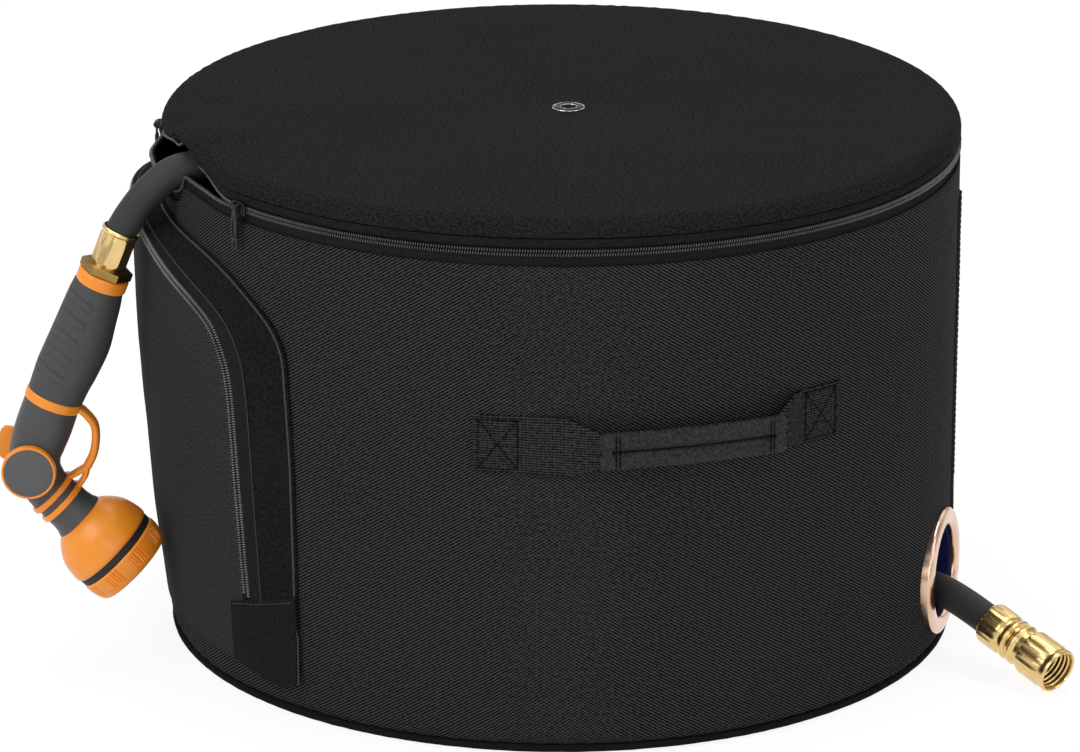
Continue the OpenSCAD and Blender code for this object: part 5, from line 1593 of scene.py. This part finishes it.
# finger guard: one strap that splits in two at the neck's rings
guardLine = curveThrough([onNozzle @ Vector((x, 0, z)) for x, z in nozzle["guard"]], 8)
guardParts = [sweep("loop", guardLine, lambda f: oval(2.5 + 0.5 * f, 6.4 - 1.2 * f, 20, 0.8),
                    orangePlastic)]
for along, shift in ((-24.0, Vector((-0.6, 0, -0.6))), (-15.6, Vector((1.4, 0, 0.6)))):
    split, end = guardLine[-1], headAt + headDir * along + Vector((1, 0, 1)).normalized() * 16.6
    strand = curveThrough([guardLine[-6], split, split.lerp(end, 0.55) + shift, end], 10)[10:]
    guardParts.append(sweep("strand", strand, lambda f: oval(2.3 - 0.35 * f, 5.2 - 0.2 * f, 20, 0.8),
                            orangePlastic))
finishPiece(merge("nozzle_guard_loop", guardParts), "pot", "nozzle_orange", "nozzle_guard")
neckParts = [lathe("neck", nozzle["neck"], onHead, 72, greyPlastic)]
for z0 in (-26.0, -17.6):
    neckParts.append(lathe("ring", [(r, z0 + z) for r, z in nozzle["neckRing"]], onHead, 72, orangePlastic,
                           closed=True))
finishPiece(merge("nozzle_neck_rings", neckParts), "pot", "nozzle_dark", "nozzle_neck")
bell = curveThrough([Vector((r, z, 0)) for r, z in nozzle["bell"]], 4)
bellProfile = [(4, 0), (17.4, 0.0)] + [(p.x, p.y) for p in bell] + nozzle["bellLip"]
bellPiece = lathe("nozzle_bell", bellProfile, onHead, 96, orangePlastic, closed=True)
finishPiece(bellPiece, "pot", "nozzle_orange", "nozzle_head")
darkBand = lathe("nozzle_band_dark", nozzle["darkBand"], onHead, 96, washerRubber, closed=True)
finishPiece(darkBand, "pot", "nozzle_dark", "nozzle_ring")


def notches(a, r, z):
    # groups of four grip notches round the turning ring
    group = (math.degrees(a) % 40) - 20
    if r < 28 or not 36.4 < z < 46.5 or abs(group) > 9:
        return 0.0
    return -0.9 * max(0.0, math.cos(math.radians(group) * 360 / 4.5)) ** 0.6


facePiece = lathe("nozzle_turn_ring", nozzle["face"], onHead, 360, orangePlastic, closed=True, wave=notches)
finishPiece(facePiece, "spray_face", "nozzle_orange", "nozzle_face_ring")
platePiece = lathe("plate", nozzle["plate"], onHead, 72, greyPlastic)
jetPlaces = []
for count, radius in nozzle["jets"]:
    for a in turns(count):
        spotAt = onHead @ Vector((radius * math.cos(a), radius * math.sin(a), 47.9))
        jetPlaces.append((spotAt, onHead.col[0].xyz, headDir))
jetStamp = flatShape("jetStamp", [circle(0.85, 10), circle(0.42, 8)], 1.2, Matrix(), greyPlastic, 0.15, 1)
bpy.context.collection.objects.unlink(jetStamp)
jets = scatter("jets", jetPlaces, jetStamp, greyPlastic)
finishPiece(merge("nozzle_spray_plate", [platePiece, jets]), "spray_face", "nozzle_dark", "nozzle_plate")
print("stage: nozzle")


# floor and light
def light(name, place, size, power, aim=(0, 0, 0.15)):
    data = bpy.data.lights.new(name, "AREA")
    data.shape = "RECTANGLE"
    data.size, data.size_y, data.energy = size[0], size[1], power
    obj = bpy.data.objects.new(name, data)
    obj.location = place
    obj.rotation_euler = (Vector(aim) - Vector(place)).to_track_quat("-Z", "Y").to_euler()
    bpy.context.collection.objects.link(obj)


light("lamp_left", (-2.2, -1.6, 2.2), (1.6, 1.6), 31)
light("lamp_right", (2.4, -1.4, 1.8), (1.4, 1.8), 9)
light("lamp_top", (0.2, 0.5, 2.8), (2.4, 1.6), 30)
light("lamp_front", (0.0, -3.2, 1.0), (2.4, 1.0), 14)

world = bpy.data.worlds.new("world")
bpy.context.scene.world = world
world.use_nodes = True
tree = world.node_tree
back = tree.nodes["Background"]
back.inputs[0].default_value = (1, 1, 1, 1)
path = addNode(tree, "ShaderNodeLightPath")
seen = mathNode(tree, "MAXIMUM", path.outputs["Is Camera Ray"], path.outputs["Is Transmission Ray"])
way = addNode(tree, "ShaderNodeTexCoord").outputs["Generated"]
bands = addNode(tree, "ShaderNodeTexWave", {"Vector": way, "Scale": 0.9, "Distortion": 2.0},
                bands_direction="DIAGONAL").outputs["Fac"]
# soft boxes that shiny pieces mirror
bands = mathNode(tree, "MULTIPLY_ADD", mathNode(tree, "POWER", bands, 1.5), 1.2, 0.12)
strength = mathNode(tree, "MAXIMUM", mathNode(tree, "MULTIPLY", seen, 1.06),
                    mathNode(tree, "MULTIPLY", path.outputs["Is Glossy Ray"], bands))
tree.links.new(mathNode(tree, "MAXIMUM", strength, 0.42), back.inputs[1])

floorMesh = bpy.data.meshes.new("floor")
floorMesh.from_pydata([(-9, -9, 0), (9, -9, 0), (9, 9, 0), (-9, 9, 0)], [], [(0, 1, 2, 3)])
floor = newObject("floor", floorMesh)
floorMat, tree, shader = makeMaterial("floorPaint")
shader.inputs["Base Color"].default_value = (0.92, 0.92, 0.92, 1)
shader.inputs["Roughness"].default_value = 0.9
shader.inputs["Specular IOR Level"].default_value = 0.1
glow = addNode(tree, "ShaderNodeEmission", {"Color": (1, 1, 1, 1), "Strength": 1.1})
path = addNode(tree, "ShaderNodeLightPath")
mirrored = mathNode(tree, "MAXIMUM", path.outputs["Is Glossy Ray"], path.outputs["Is Transmission Ray"])
share = mathNode(tree, "MULTIPLY", mathNode(tree, "MAXIMUM", path.outputs["Is Camera Ray"], mirrored), 0.8)
blend = addNode(tree, "ShaderNodeMixShader", {0: share, 1: shader.outputs[0], 2: glow.outputs[0]})
tree.links.new(blend.outputs[0], tree.nodes["Material Output"].inputs[0])
floorMesh.materials.append(floorMat)
bpy.context.scene.view_settings.view_transform = "Standard"
